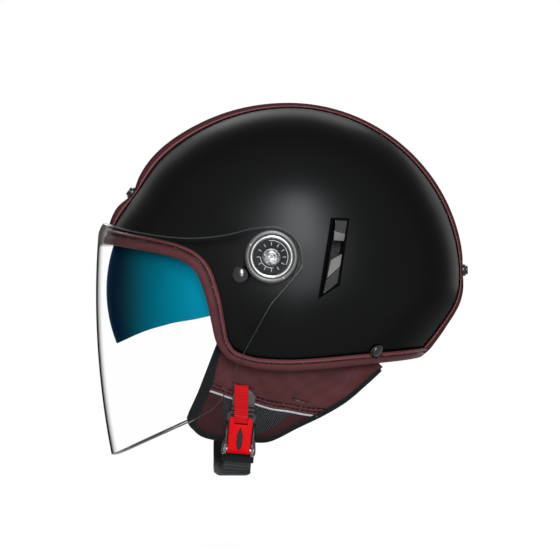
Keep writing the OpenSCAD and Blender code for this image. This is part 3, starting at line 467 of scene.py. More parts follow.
# Edge trim: padded burgundy leather folded round the shell's rim, sewn along a groove and finished
# with a piped bead. It is wide and flat at the brim and narrows to the nape, and is glued on.
LEG, INSIDE, LIP, LAY = 8.0, 4.7, 2.0, 0.6
TRIM_WIDE, TRIM_NARROW, TRIM_FLAT, TRIM_FULL = 9.0, 8.0, 2.6, 3.6
# Painted light and shade across the trim's section, one value for each place: painted shade under the lip, in
# the sewn groove and where the bead meets the shell, painted highlights on the roll and the bead.
TRIM_PAINTED_LIGHT = [0, 0, 0, 0, -0.3, -0.35, -0.1, 0.25, 0.3, 0.1, -0.5, -0.55, 0.6, 1.5, 0.6, -0.5,
             0, 0, 0, 0, 0, 0]
trim_steps = np.arange(0, 21, 0.25)


def leather(name, dark, light, gloss=0.06):
    """Grained leather: small pebbles from distances to scattered points, finer creases in them and a
    slow change of tone; the tops of the pebbles are lighter and a little glossier. The piece's own attribute
    of painted light lightens beads and ridges as painted highlight and darkens grooves as painted shade."""
    hide, start = new_finish(name, {"Specular IOR Level": gloss})
    # Painted light and shade from the piece's attribute: highlights on beads and ridges, shade in grooves and
    # sewn rows.
    tone = start.node("Attribute", {"attribute_name": "tone"}, out="Fac")
    stray = start.node("TexNoise", {}, {"Vector": place(start), "Scale": 500.0}, out="Color")
    bent = start.node("VectorMath", {"operation": "MULTIPLY_ADD"},
                      {0: stray, 1: (0.0006,) * 3, 2: place(start)})
    pebble = start.node("TexVoronoi", {"feature": "DISTANCE_TO_EDGE"}, {"Vector": bent, "Scale": 900.0})
    pebble = (pebble * 3.2).most(1)
    fine = cloud(start, 3200, 2)
    shade = (0.35 * pebble + 0.55 * cloud(start, 60) + 0.1 * fine + tone).least(-0.75)
    coat(tint(shade, dark, light, clamp=False), 0.60 - 0.12 * pebble + 0.1 * (cloud(start, 140) - 0.5),
         bump(pebble * 0.8 + 0.2 * fine, 0.00011))
    return hide


burgundy = leather("burgundy_leather", (0.031, 0.0092, 0.0105), (0.066, 0.0210, 0.0232))
rim_low = np.clip(-rim[:, 2] / 50, 0, 1)
trim_w = np.where(rim[:, 2] > 0, TRIM_WIDE, blend(TRIM_WIDE, TRIM_NARROW, rim_low))
trim_h = blend(TRIM_FLAT, TRIM_FULL, np.clip((rim[:, 0] + 140) / 40, 0, 1))


def trim_rings(w, h):
    """The trim's section at each rim point, a closed smooth curve through named places: up the inner
    leg, round the lip, over the padded roll, down the sewn groove, over the bead and back underneath."""
    o = np.zeros_like(w)
    lip = o + LIP
    places = np.stack([np.stack(pair, -1) for pair in (
        (o + LEG, o + 3.95), (o + LEG, o + INSIDE), (o + 4, o + INSIDE), (-0.55 * lip, o + 4.4),
        (-lip, o + 1.8), (-lip, -0.3 * h), (-0.6 * lip, -0.82 * h), (0.08 * w, -h), (0.34 * w, -0.98 * h),
        (0.54 * w, -0.7 * h), (0.63 * w, -0.36 * h), (0.70 * w, -0.48 * h), (0.78 * w, -0.86 * h),
        (0.88 * w, -0.92 * h), (0.97 * w, -0.62 * h), (w, o - LAY), (0.5 * w, o - LAY), (o - FIT, o - LAY),
        (o - FIT, o + 2), (o - FIT, o + 3.9), (o + 4, o + 3.95))])
    places = np.concatenate([places[-1:], places, places[:2]])
    flat = through(places.reshape(len(places), -1), 1 + trim_steps).reshape(-1, *places.shape[1:])
    return rim_at(flat[..., 0].T, flat[..., 1].T)


def tube(rings, loop=False):
    """Points and faces of a closed tube through rings of points; a loop joins its ends, and otherwise
    each end is closed by a fan to the ring's middle."""
    n, m = rings.shape[:2]
    points = rings.reshape(-1, 3)
    faces = grid_quads(n, m, loop=True)
    first = np.arange(m)
    last = first + (n - 1) * m
    if loop:
        return points, faces + wall(last, first)
    points = np.concatenate([points, rings[0].mean(0)[None], rings[-1].mean(0)[None]])
    return points, faces + fan(first, n * m) + fan(last, n * m + 1)


def lathe(profile, at, axis, count=48):
    """Rings of points: a profile of [radius, height] turned about an axis through a point."""
    axis = unit(np.asarray(axis, float))
    side = unit(np.cross(axis, [0.0, 0, 1] if abs(axis[2]) < 0.9 else [1.0, 0, 0]))
    up = np.cross(axis, side)
    a = circle(count)[None, :, None]
    profile = np.asarray(profile, float)
    return (np.asarray(at) + profile[:, 1, None, None] * axis
            + profile[:, 0, None, None] * (np.cos(a) * side + np.sin(a) * up))


def lay_painted_light(thing, light_and_shade):
    """Stores each point's painted light, a painted highlight above nought and painted shade below, for the
    leather to read.
    """
    kept = thing.data.attributes.new("tone", "FLOAT", "POINT")
    kept.data.foreach_set("value", np.resize(light_and_shade, len(thing.data.vertices)).astype(np.float32))


RIVET_X, RIVET_Z, SCALLOP_R, SCALLOP_H = 66.0, -57.5, 6.2, 9.0
RIVET_AT = np.array([RIVET_X, -float(side_y(np.array(RIVET_X), np.array(RIVET_Z))), RIVET_Z])
RIVET_N = skin_normal(RIVET_AT)
trim = piece("edge_leather", *tube(trim_rings(trim_w, trim_h), loop=True), burgundy, "helmet",
             "burgundy_leather", "edge_trim")
# Paints the highlights and shade of the section into the trim's leather.
lay_painted_light(trim, np.interp(trim_steps, np.arange(len(TRIM_PAINTED_LIGHT)), TRIM_PAINTED_LIGHT))
for _, hand in HANDS:
    cut_out(trim, *tube(lathe([[SCALLOP_R, 0.0], [SCALLOP_R, SCALLOP_H]], RIVET_AT * [1, hand, 1],
                              RIVET_N * [1, hand, 1])))

# Sewing thread of the trim: waxed black thread with a few pale turns, in short stitches that lie in
# the groove and dip into the leather at both ends.
STITCH_PITCH, STITCH_LONG, STITCH_THICK = 3.3, 2.1, 0.5


def run_along(path):
    """Length gone along a path at each of its points."""
    return np.concatenate([[0], np.cumsum(np.linalg.norm(np.diff(path, axis=0), axis=-1))])


def even_steps(path, pitch):
    """Points about pitch apart along a path, and the direction of the path at each."""
    run = run_along(path)
    s = np.linspace(0, run[-1], max(3, int(run[-1] / pitch)) + 1)
    mids = (s[1:] + s[:-1]) / 2
    at, ahead, behind = [np.stack([np.interp(mids + off, run, path[:, k]) for k in range(3)], -1)
                         for off in (0, 0.5, -0.5)]
    return at, unit(ahead - behind)


def stitches(path, out, long=STITCH_LONG, thick=STITCH_THICK, pitch=STITCH_PITCH):
    """One small arched bar for each step of a path: five rings of six points, thinner and lower at the
    ends; out gives the direction away from the leather at points on the path."""
    at, run = even_steps(path, pitch)
    up = out(at)
    up = unit(up - run * (up * run).sum(-1, keepdims=True))
    side = np.cross(run, up)
    at, run, up, side = [v[:, None, None] for v in (at, run, up, side)]
    along, wide, rise = [np.array(row)[None, :, None, None] for row in (
        [-1, -0.75, 0, 0.75, 1], [0.45, 0.95, 1.1, 0.95, 0.45], [-0.9, 0.0, 0.35, 0.0, -0.9])]
    a = (np.arange(6) * np.pi / 3)[None, None, :, None]
    rings = (at + along * long / 2 * run + thick * rise * up
             + thick * wide * (np.cos(a) * side + 0.8 * np.sin(a) * up))
    one = np.array(grid_quads(5, 6, loop=True))
    first = np.arange(len(at))[:, None, None] * 30
    ends = [list(range(k, k + 6)) for n in range(len(at)) for k in (30 * n, 30 * n + 24)]
    return rings.reshape(-1, 3), (first + one).reshape(-1, 4).tolist() + ends


def waves(start, way, scale, bend, coarse=1.0):
    """Bands from 0 to 1 on Object coordinates, along Z or on the diagonal, bent by noise."""
    return start.node("TexWave", {"bands_direction": way}, {
        "Vector": place(start), "Scale": scale, "Distortion": bend, "Detail Scale": coarse})


def thread(name, dark, light, pale_share=0.5):
    """Twisted thread: fine diagonal lines, and slow patches where the pale strand comes to the top."""
    yarn, start = new_finish(name, {"Roughness": 0.62, "Specular IOR Level": 0.15})
    patch = ((cloud(start, 330, 1) - 0.7 + 0.4 * pale_share) * 3).least(0).most(0.8)
    twist = waves(start, "DIAGONAL", 900.0, 0.5)
    tint(patch + 0.2 * twist, dark, light).feed("Base Color")
    bump(twist, 0.0001).feed("Normal")
    return yarn


black_thread = thread("black_thread", (0.005, 0.005, 0.006), (0.17, 0.145, 0.14), 0.52)
groove = rim_at(0.635 * trim_w, -0.40 * trim_h - 0.12)
piece("trim_sewing", *stitches(np.concatenate([groove, groove[:1]]), skin_normal), black_thread, "helmet",
      "binding_black")

# Crown strip: a padded leather band from the brim to the nape, piped along both edges and sewn
# inside the piping. It is glued to the shell and drawn down where the press studs go through it.
STRIP_W, STRIP_FROM, STRIP_TO, STRIP_ROWS = 50.0, 14.7, 211.0, 220
STUD_FRONT, STUD_REAR, STUD_HOLE = 27.5, 178.0, 5.1
PAD_KNOTS = np.array([[14.7, 2.6], [21.5, 4.7], [27.5, 1.6], [34, 4.5], [46, 4.9], [65, 3.9], [90, 2.6],
                      [120, 2.5], [150, 2.6], [171, 2.3], [178, 1.4], [185, 2.5], [195, 3.5], [203, 4.0],
                      [208, 4.4], [211, 3.4]])
STRIP_EDGE = np.array([[0.99, -0.12], [1.025, 0.04], [1.028, 0.22], [1.0, 0.34], [0.965, 0.30], [0.945, 0.20],
                       [0.925, 0.34], [0.86, 0.72], [0.6, 0.94], [0, 1.0]])
# Painted light and shade across the strip's edge: a dark line of painted shade where it meets the shell and
# painted shade in the sewn groove, a bright painted highlight along the piping.
STRIP_PAINTED_LIGHT = [-1.0, -0.4, 2.2, 5.6, 0.2, -0.6, -0.3, 0.0, 0.0, 0.0]
STRIP_UNDER = [[-0.5, 0], [0, 0], [0.5, 0], [1, 0]]
strip_turn = np.linspace(STRIP_FROM, STRIP_TO, STRIP_ROWS)
pad_fine = through(PAD_KNOTS, np.linspace(0, len(PAD_KNOTS) - 1, 300))
strip_h = np.interp(strip_turn, pad_fine[:, 0], pad_fine[:, 1])


def crown_at(turn):
    """Points of the shell on the middle plane, turn degrees up from the front and over the crown."""
    turn = np.asarray(turn, float)
    return sink(heading(0.0 * turn, turn))


def strip_at(s, p):
    """Points across the strip: s from -1 to 1 over its half width, p the share of the pad's height."""
    spread = crown_at(strip_turn)[:, None] + np.stack([0 * s, s * STRIP_W / 2, 0 * s], -1)
    return sink(spread, -LAY - p * (strip_h[:, None] - LAY))


matt_burgundy = leather("matt_burgundy_leather", (0.036, 0.0120, 0.0136), (0.076, 0.0270, 0.0300), gloss=0.0)
strip_places = np.concatenate([STRIP_EDGE, (STRIP_EDGE * [-1, 1])[-2::-1], STRIP_UNDER])
strip_steps = np.arange(0, len(strip_places) - 1, 0.25)
strip = piece("crown_leather", *tube(strip_at(*through(strip_places, strip_steps).T)), matt_burgundy,
              "helmet", "burgundy_leather", "crown_strip")
# Paints the piping's highlight and the shade along the strip's edges into its leather.
lay_painted_light(strip, np.interp(strip_steps, np.arange(len(strip_places)),
                          STRIP_PAINTED_LIGHT + STRIP_PAINTED_LIGHT[-2::-1] + [0] * len(STRIP_UNDER)))
for turn in (STUD_FRONT, STUD_REAR):
    stud_at = crown_at(turn)
    cut_out(strip, *tube(lathe([[STUD_HOLE, -1.0], [STUD_HOLE, 9.0]], stud_at, skin_normal(stud_at))))
for side, hand in HANDS:
    line = strip_at(np.array([-hand * 0.945]), np.array([0.3]))[:, 0]
    piece("strip_sewing_" + side, *stitches(line, skin_normal, 2.4, 0.34), black_thread, "helmet",
          "binding_black")

# Press studs: turned gunmetal posts with a rolled cap, riveted through the strip at the brow and
# at the nape, for a peak or a goggle strap to snap on.
STUD_PROFILE = [[4.65, 0.6], [4.7, 0.9], [4.7, 3.2], [4.5, 3.6], [3.6, 3.8], [3.42, 4.0], [3.42, 4.2],
                [3.5, 4.4], [3.5, 5.0], [3.3, 5.3], [2.9, 5.4], [1.6, 5.35], [0.5, 5.3]]


def metal(name, dark, light, patch, rough, swing, speck, detail=4):
    """Bare metal: a slow change of tone, patch cycles a metre, and a finer one of gloss."""
    made, start = new_finish(name, {"Metallic": 1.0})
    coat(tint(cloud(start, patch), dark, light), rough + swing * cloud(start, speck, detail))
    return made


gunmetal = metal("gunmetal", (0.022, 0.023, 0.025), (0.055, 0.056, 0.06), 120, 0.20, 0.16, 400, 5)
bump(cloud(Wire(gunmetal.node_tree), 3000, 2), 0.00001).feed("Normal")
for name, turn in (("front_stud", STUD_FRONT), ("rear_stud", STUD_REAR)):
    stud_at = crown_at(turn)
    piece(name + "_turned", *tube(lathe(STUD_PROFILE, stud_at, skin_normal(stud_at))), gunmetal, "helmet",
          "gunmetal", name, crease=50)

# Side vents: a black cup let into the slanted hole on each side, darkened to near black as painted shade in
# the recess, with two grey inserts in it. Each insert has a flat plate near the shell's surface and a facet
# that slopes down to the air hole, painted lighter as a highlight.
INSERT_FLOOR, PLATE_SUNK, FACET_HIGH, FACET_LOW = 107.6, 0.8, 1.0, 5.6
INSERTS = (
    ([(34.554, 43.212), (43.992, 42.978), (42.744, 32.604), (34.086, 35.568)], [PLATE_SUNK] * 4),
    ([(33.462, 35.1), (42.588, 32.214), (42.12, 26.832), (33.228, 27.456)],
     [FACET_HIGH, FACET_HIGH, FACET_LOW, FACET_LOW]),
    ([(27.378, -3.822), (39.078, 7.176), (37.05, -5.148), (25.038, -13.572)], [PLATE_SUNK] * 4),
    ([(30.966, 12.246), (40.248, 17.472), (39.624, 8.658), (27.846, -2.184)],
     [FACET_LOW, FACET_LOW, FACET_HIGH, FACET_HIGH]))


def parts(vector):
    """The three numbers of a vector, X, Y and Z."""
    split = vector.node("SeparateXYZ", {}, {0: vector}).socket.node
    return [Wire(vector.tree, out) for out in split.outputs]


def ease_edges(thing, width, angle=30, material=-1):
    """Rounds off edges sharper than angle to a width in metres, in one of the piece's materials."""
    eased = thing.modifiers.new("eased_edge", "BEVEL")
    eased.width, eased.segments, eased.angle_limit, eased.material = width, 2, np.radians(angle), material


def gather(solids):
    """Several closed solids as one list of points and faces."""
    points, faces, first = [], [], 0
    for more, its_faces in solids:
        faces += [[k + first for k in face] for face in its_faces]
        points.append(np.asarray(more).reshape(-1, 3))
        first += len(points[-1])
    return np.concatenate(points), faces


def refinish(node, finish):
    """Gives a CAD node that stays in view a finish of its own."""
    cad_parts[node].data.materials.clear()
    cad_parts[node].data.materials.append(finish)


def pair(name, solid, finish, slot, node=None, crease=40):
    """The left piece as its points and faces give it and the right one as its mirror image, each standing
    for its CAD node."""
    return [piece(name + side, solid[0] * [1, hand, 1], solid[1], finish, "helmet", slot,
                  *([node + side] if node else []), crease=crease) for side, hand in HANDS]


# Black plastic for the cups, darkened further to near black as painted shade in the recess.
vent_black, start = new_finish("vent_black", {"Specular IOR Level": 0.0})
coat(tint(cloud(start, 200), (0.0012, 0.0012, 0.0013), (0.0026, 0.0026, 0.003)),
     0.5 + 0.2 * cloud(start, 900))
vent_grey, start = new_finish("vent_grey", {"Specular IOR Level": 0.08})
slope = parts(start.node("NewGeometry", out="Normal"))[2]
# Faces that tilt up or down are painted lighter: a painted highlight on the sloping facets.
sloped_highlight = (slope.maths("ABSOLUTE", slope) > 0.3) * 0.8 + 0.2 * cloud(start, 2200, 3)
coat(tint(sloped_highlight, (0.0075, 0.0079, 0.0087), (0.125, 0.125, 0.123)), 0.38 + 0.2 * cloud(start, 1500, 3),
     bump(cloud(start, 5200, 2), 0.00004))
blocks = []
for corners, sunk in INSERTS:
    x, z = np.array(corners).T
    top = np.stack([x, sunk - side_y(x, z), z], -1)
    blocks.append((np.concatenate([top, top * [1, 0, 1] + [0, -INSERT_FLOOR, 0]]),
                   grid_quads(2, 4, loop=True) + [[0, 1, 2, 3], [4, 5, 6, 7]]))
for insert in pair("vent_inserts_", gather(blocks), vent_grey, "vent_grey", "vent_fins_", crease=20):
    ease_edges(insert, 0.0003)
for side, _ in HANDS:
    refinish("vent_cup_" + side, vent_black)

# Visor pivots: on each side a moulded base with a boss that the visor's ear turns on, and on it a
# gunmetal bezel, a bright ring, a black dial with light marks and a knurled screw that holds the stack.
PIVOT_X, PIVOT_Z, BASE_TOP, BOSS_TOP = -14.8, 14.6, 124.996, 127.796
TICK_TURN, TICK_HALF = 15, 0.30
SCREW_STEPS, SCREW_TOOTH, TOOTH_DEEP = 144, 6, 0.05
BASE = [[21.0, -9.0], [21.0, -0.5], [20.6, 0.0], [9.6, 0.0], [9.0, 0.1], [9.0, 2.75], [3.2, 2.8], [3.2, -9.0]]
BEZEL = [[3.2, 0.0], [20.4, 0.0], [20.7, 0.3], [20.7, 1.9], [20.45, 2.4], [19.7, 2.75], [17.4, 2.8],
         [17.0, 2.6], [16.9, 0.8], [3.2, 0.8]]
BRIGHT = [[13.95, 0.8], [16.7, 0.8], [16.7, 2.9], [16.5, 3.2], [15.9, 3.35], [14.8, 3.3], [14.2, 3.0],
          [13.95, 2.5]]
DIAL = [[7.0, 0.8], [13.8, 0.8], [13.8, 2.1], [13.55, 2.35], [13.0, 2.4], [7.4, 2.4], [7.0, 2.2]]
SCREW = np.array([[3.0, 0.82], [6.5, 0.85], [6.7, 1.1], [6.7, 3.0], [6.45, 3.4], [5.6, 3.7], [4.9, 3.45],
                  [4.3, 3.75], [3.2, 3.8], [2.6, 3.3], [1.4, 3.2], [0.5, 3.2]])


def moulded(name, dark, light, rough=0.42):
    """Moulded plastic: an even, finely sparked skin with slow changes of gloss."""
    skin, start = new_finish(name, {"Specular IOR Level": 0.18})
    coat(tint(cloud(start, 80), dark, light), rough + 0.16 * (cloud(start, 260) - 0.5),
         bump(cloud(start, 4200, 2), 0.00003))
    return skin


def cells(start, scale, out="Distance"):
    """Scattered cells on Object coordinates: the distance from each cell's middle, or its own colour."""
    return start.node("TexVoronoi", {"feature": "F1"}, {"Vector": place(start), "Scale": scale}, out=out)


def round_marks(start):
    """Distance from the pivot's axis in millimetres, and the turn round it in degrees, -180 to 180."""
    x, _, z = parts(start.node("Mapping", {}, {
        "Vector": place(start), "Location": (-PIVOT_X / 1000, 0, -ORIGIN[2] - PIVOT_Z / 1000)}))
    return (x * x + z * z) ** 0.5 * 1000, z.maths("ARCTAN2", z, x) * (180 / np.pi)


def between(value, low, high):
    """One where the value lies between low and high, and nought elsewhere."""
    return (value > low) * (value < high)


moulded_black = moulded("moulded_black", (0.006, 0.006, 0.0065), (0.012, 0.012, 0.013))
chrome = metal("bright_chrome", (0.085, 0.088, 0.092), (0.19, 0.194, 0.198), 300, 0.16, 0.12, 700)
cut_steel, start = new_finish("cut_steel", {"Metallic": 1.0})
facet = parts(cells(start, 620.0, "Color"))[0]
coat(tint(facet, (0.04, 0.042, 0.044), (0.36, 0.365, 0.37)), 0.34 + 0.2 * facet, bump(facet, 0.00025))

dial_black, start = new_finish("dial_black", {"Specular IOR Level": 0.03})
away, turn = round_marks(start)
off_tick = turn.maths("PINGPONG", turn + 180, TICK_TURN)
ticks = between(away, 8.8, 11.4) * (off_tick * away < TICK_HALF * 180 / np.pi)
outer_arc = between(away, 12.5, 12.95) * between(turn, -28, 98)
inner_arc = between(away, 8.2, 8.6) * between(turn, -195, -80)
marks = (ticks * 0.75 + outer_arc + inner_arc).most(1) * 0.85
coat(tint(marks + 0.05 * cloud(start, 900), (0.004, 0.004, 0.0045), (0.36, 0.37, 0.38)),
     0.32 + 0.12 * cloud(start, 600))

bezel_grey, start = new_finish("bezel_grey", {"Metallic": 1.0})
away, turn = round_marks(start)
notch = between(away, 18.0, 19.6) * (between(turn, 148, 151) + between(turn, -61.5, -58.5))
brushed = start.node("TexNoise", {}, {
    "Vector": start.node("CombineXYZ", {}, {0: away * 2.2, 1: turn * 0.012}), "Scale": 1.6, "Detail": 4.0})
coat(tint(notch * 0.8 + 0.45 * brushed, (0.018, 0.0185, 0.02), (0.15, 0.148, 0.143)), 0.26 + 0.2 * brushed)

for side, hand in HANDS:
    out = np.array([0.0, -hand, 0.0])
    over = np.array([PIVOT_X, -hand * BOSS_TOP, PIVOT_Z])
    for name, profile, at, finish, slot in (
            ("pivot_base_", BASE, over + out * (BASE_TOP - BOSS_TOP), moulded_black, "moulded_black"),
            ("pivot_bezel_", BEZEL, over, bezel_grey, "gunmetal"),
            ("pivot_bright_ring_", BRIGHT, over, chrome, "bright_chrome"),
            ("pivot_dial_", DIAL, over, dial_black, "moulded_black")):
        piece(name + "turned_" + side, *tube(lathe(profile, at, out, 96), loop=True), finish, "helmet", slot,
              name + side, crease=30)
    axis = over + out * SCREW[:, 1, None, None]
    knurl = 1 - TOOTH_DEEP * (np.arange(SCREW_STEPS) % SCREW_TOOTH < SCREW_TOOTH / 2) * np.clip(
        (SCREW[:, :1] - 3.0) / 2, 0, 1)
    piece("pivot_screw_turned_" + side,
          *tube(axis + (lathe(SCREW, over, out, SCREW_STEPS) - axis) * knurl[..., None]), cut_steel, "helmet",
          "bright_chrome", "pivot_screw_" + side, crease=25)

# Strap rivets: dark domed heads of turned gunmetal that hold the chin strap's anchors. Each goes through
# the shell and sits in a scallop of the trim.
RIVET_HEAD = [[5.6, 0.3], [5.6, 1.0], [5.3, 1.3], [4.7, 1.4], [4.6, 1.8], [4.3, 2.6], [3.5, 3.2], [2.2, 3.6],
              [0.6, 3.75]]
for side, hand in HANDS:
    piece("rivet_head_" + side, *tube(lathe(RIVET_HEAD, RIVET_AT * [1, hand, 1], RIVET_N * [1, hand, 1])),
          gunmetal, "helmet", "gunmetal", "strap_rivet_" + side, crease=35)

# Foam liner: a dark block of moulded bead foam that takes up a blow. It fills the shell, ends above
# the rim, and is cut back behind the brim so that the sun visor can slide up in front of it.
FOAM_DEPTH, FOAM_WALL, FOAM_ROWS, POCKET_TURN, SUN_GAP = 5.6, 31.0, 40, np.radians(20), 1.5
SUN_X, SUN_Z, SUN_R, SUN_HALF_W, SUN_WALL = -31.6, -10.9, 112.0, 104.0, 2.0
foam_lift = blend(4.0, 17.0, rim_low)


def foam_skin(d):
    """The shell's surface at the foam's depth, drawn in at the front to an ellipsoid just behind the sun
    visor's own: the nearer of the two along each direction, from the quadratic for the ellipsoid."""
    full = sink(d, FOAM_DEPTH)
    flat, wide = (SUN_R - SUN_WALL - SUN_GAP) ** 2, (SUN_HALF_W - SUN_WALL - SUN_GAP) ** 2
    a = (d[..., 0] ** 2 + d[..., 2] ** 2) / flat + d[..., 1] ** 2 / wide
    b = -2 * (d[..., 0] * SUN_X + d[..., 2] * SUN_Z) / flat
    c = (SUN_X ** 2 + SUN_Z ** 2) / flat - 1
    pocket = (-b + np.sqrt(b * b - 4 * a * c)) / (2 * a)
    r = np.linalg.norm(full, axis=-1)
    ahead = (SUN_X - full[..., 0]) * np.cos(POCKET_TURN) - (full[..., 2] - SUN_Z) * np.sin(POCKET_TURN)
    return d * blend(r, np.minimum(r, pocket), smooth_step((ahead + 38) / 8))[..., None]


bead_foam, start = new_finish("bead_foam", {"Specular IOR Level": 0.08})
bead = cells(start, 330.0)
coat(tint((bead * 1.3).most(1), (0.030, 0.030, 0.032), (0.014, 0.014, 0.015)),
     0.72 + 0.12 * cloud(start, 500), bump(1 - bead, 0.0005))
foam = piece("foam_block", *dome_solid(dome(foam_skin, foam_lift, FOAM_ROWS),
                                       dome(lambda d: sink(d, FOAM_DEPTH + FOAM_WALL), foam_lift, FOAM_ROWS)),
             bead_foam, "helmet", "foam_grey", "foam_liner")
cut_vents(foam, 0.6, 103.4)

# Crown liner: the knitted comfort lining over soft foam, sewn into panels that run from the brow to
# the nape and across the top. It snaps into the foam and rests on the wearer's head.
LINER_DEPTH, LINER_WALL, LINER_ROWS = 36.9, 7.6, 90
CHANNEL_DEEP, CHANNEL_WIDE, CHANNEL_Y, CHANNEL_X, CHANNEL_Z = 3.0, 2.6, 22, -6, 38


def knit(name, dark, light, loop=1100):
    """Warp-knitted lining: rows of small loops from two crossed waves, with a soft bloom of fibre."""
    cloth, start = new_finish(name, {"Specular IOR Level": 0.06, "Sheen Weight": 0.04,
                                     "Sheen Roughness": 0.5})
    rows, wales = waves(start, "Z", loop / 6.3, 1.2, 3.0), waves(start, "DIAGONAL", loop / 5.2, 0.8)
    loops = rows * 0.55 + wales * 0.45
    coat(tint(0.6 * loops + 0.4 * cloud(start, 70), dark, light), 0.8 + 0.15 * (cloud(start, 400) - 0.5),
         bump(loops + 0.4 * cloud(start, 5200, 2), 0.00025))
    return cloth


def liner_inside(d):
    """The lining's inner face: the shell's surface at its depth, drawn back at sewn channels (narrow dips
    along two front-to-back lines, one cross line and a ring) and rounded away at the lower edge."""
    full = sink(d, LINER_DEPTH + LINER_WALL)
    x, y, z = full[..., 0], np.abs(full[..., 1]), full[..., 2]
    dip = bell(y - CHANNEL_Y - 0.0008 * x * x, CHANNEL_WIDE)
    dip = dip + bell(x - CHANNEL_X, 2.8) * smooth_step((y - 20) / 6)
    dip = np.minimum(1, dip + bell(z - CHANNEL_Z, CHANNEL_WIDE) * smooth_step((y - 24) / 6))
    return sink(d, LINER_DEPTH + LINER_WALL - CHANNEL_DEEP * dip)


lining = knit("black_knit", (0.010, 0.010, 0.0105), (0.034, 0.034, 0.036))
liner_out = dome(lambda d: sink(d, LINER_DEPTH), foam_lift, LINER_ROWS)
liner_edge = smooth_step((np.arange(1, LINER_ROWS + 1) / LINER_ROWS - 0.93) / 0.07)[:, None, None] ** 2
liner_in = blend(dome(liner_inside, foam_lift, LINER_ROWS), liner_out, 0.55 * liner_edge)
liner = piece("crown_lining", *dome_solid(liner_out, liner_in), lining, "helmet", "liner_fabric",
              "crown_liner")

# Neck roll: a soft roll of foam in the same knitted lining along the nape, closed by one puckered seam.
# It is tucked inside the rim and sewn to the foam liner's edge.
ROLL_R, ROLL_KNOTS, ROLL_SEAM = 8.5, 16, 4.3
roll_rows = np.arange(ROLL_KNOTS * RIM_STEPS, RIM_COUNT - ROLL_KNOTS * RIM_STEPS + 1)
roll_end = np.minimum(roll_rows - roll_rows[0], roll_rows[-1] - roll_rows) / RIM_STEPS
roll_turn = circle(28)[None]
roll_size = ROLL_R * np.sqrt(np.clip(0.12 + roll_end * 0.9, 0, 1))[:, None]
roll_size = roll_size * (1 - 0.16 * bell(roll_turn - ROLL_SEAM, 0.16)) * (
    1 + 0.018 * np.sin(roll_rows * 1.9)[:, None] * np.cos(roll_turn - ROLL_SEAM) ** 8)
roll = piece("neck_roll_lining", *tube(rim_at(ROLL_R / 2 - 1 + roll_size * np.cos(roll_turn),
                                              5.3 + ROLL_R + roll_size * np.sin(roll_turn), roll_rows)),
             lining, "helmet", "liner_fabric", "neck_roll")

# Clear visor: one thin sheet of clear polycarbonate, drawn round the front of the helmet and back along
# the sides to two round ears. It turns on the pivot bosses; its cut edge shows as a thin dark line.
EAR_OUT, EAR_R, EAR_HOLE, VISOR_WALL, VISOR_BORDER, VISOR_ROUND = 127.496, 23.8, 9.2, 2.2, 0.85, 2.3
VISOR_COLUMNS, EAR_COLUMNS, VISOR_ROWS, EAR_FOOT, EAR_SLOPE = 150, 30, 70, -21.8, 1.156
VISOR_TOP = np.array([[-153, 41.6], [-138, 38], [-125, 35], [-100, 31], [-75, 29.5], [-50, 32], [-32, 36.5],
                      [PIVOT_X, PIVOT_Z + EAR_R]])
VISOR_FOOT = np.array([[-153, -139.8], [-144, -137.3], [-126, -130.3], [-108, -123.2], [-90.7, -116.2],
                       [-76.5, -110.4], [-63, -103.4], [-55.5, -96.2], [-51.5, -89.5], [-46.5, -80],
                       [-38.7, -64.5], [-25, -39.5], [PIVOT_X, EAR_FOOT]])
VISOR_REACH, VISOR_LEVEL, VISOR_BARREL, CURL_FROM, VISOR_CURL = 151.7, -15.0, 0.00079, 31.0, 0.03
# The curled upper front lip is painted a warm grey and made half opaque: a painted sheen where the lip is
# seen at a grazing angle.
VISOR_TINT, LIP_SHEEN_TINT = (0.012, 0.0125, 0.013), (0.100, 0.088, 0.080)
LIP_X, LIP_Z, LIP_FADE_X, LIP_FADE_Z, LIP_SHEEN = -0.1335, -0.0655, 0.0075, 0.003, 0.60


def edge_line(knots, x):
    """Height of a smooth edge through the knots at each x."""
    fine = through(knots, np.linspace(0, len(knots) - 1, 400))
    return np.interp(x, fine[:, 0], fine[:, 1])


def visor_reach(z):
    """How far the sheet stands in front of the pivot at a height: a slight barrel and a curled upper lip."""
    return (VISOR_REACH - VISOR_BARREL * (z - VISOR_LEVEL) ** 2
            - VISOR_CURL * np.maximum(0, z - CURL_FROM) ** 2 + PIVOT_X)


def bordered(border):
    """Shares from 0 to 1 down each column, even but for the first and the last, which are a border wide."""
    core = blend(border, 1 - border, np.linspace(0, 1, VISOR_ROWS - 2)[:, None])
    return np.concatenate([0 * core[:1], core, 0 * core[:1] + 1])


def signed_power(v, power):
    """The size of v to a power, with v's own sign."""
    return np.sign(v) * np.abs(v) ** power


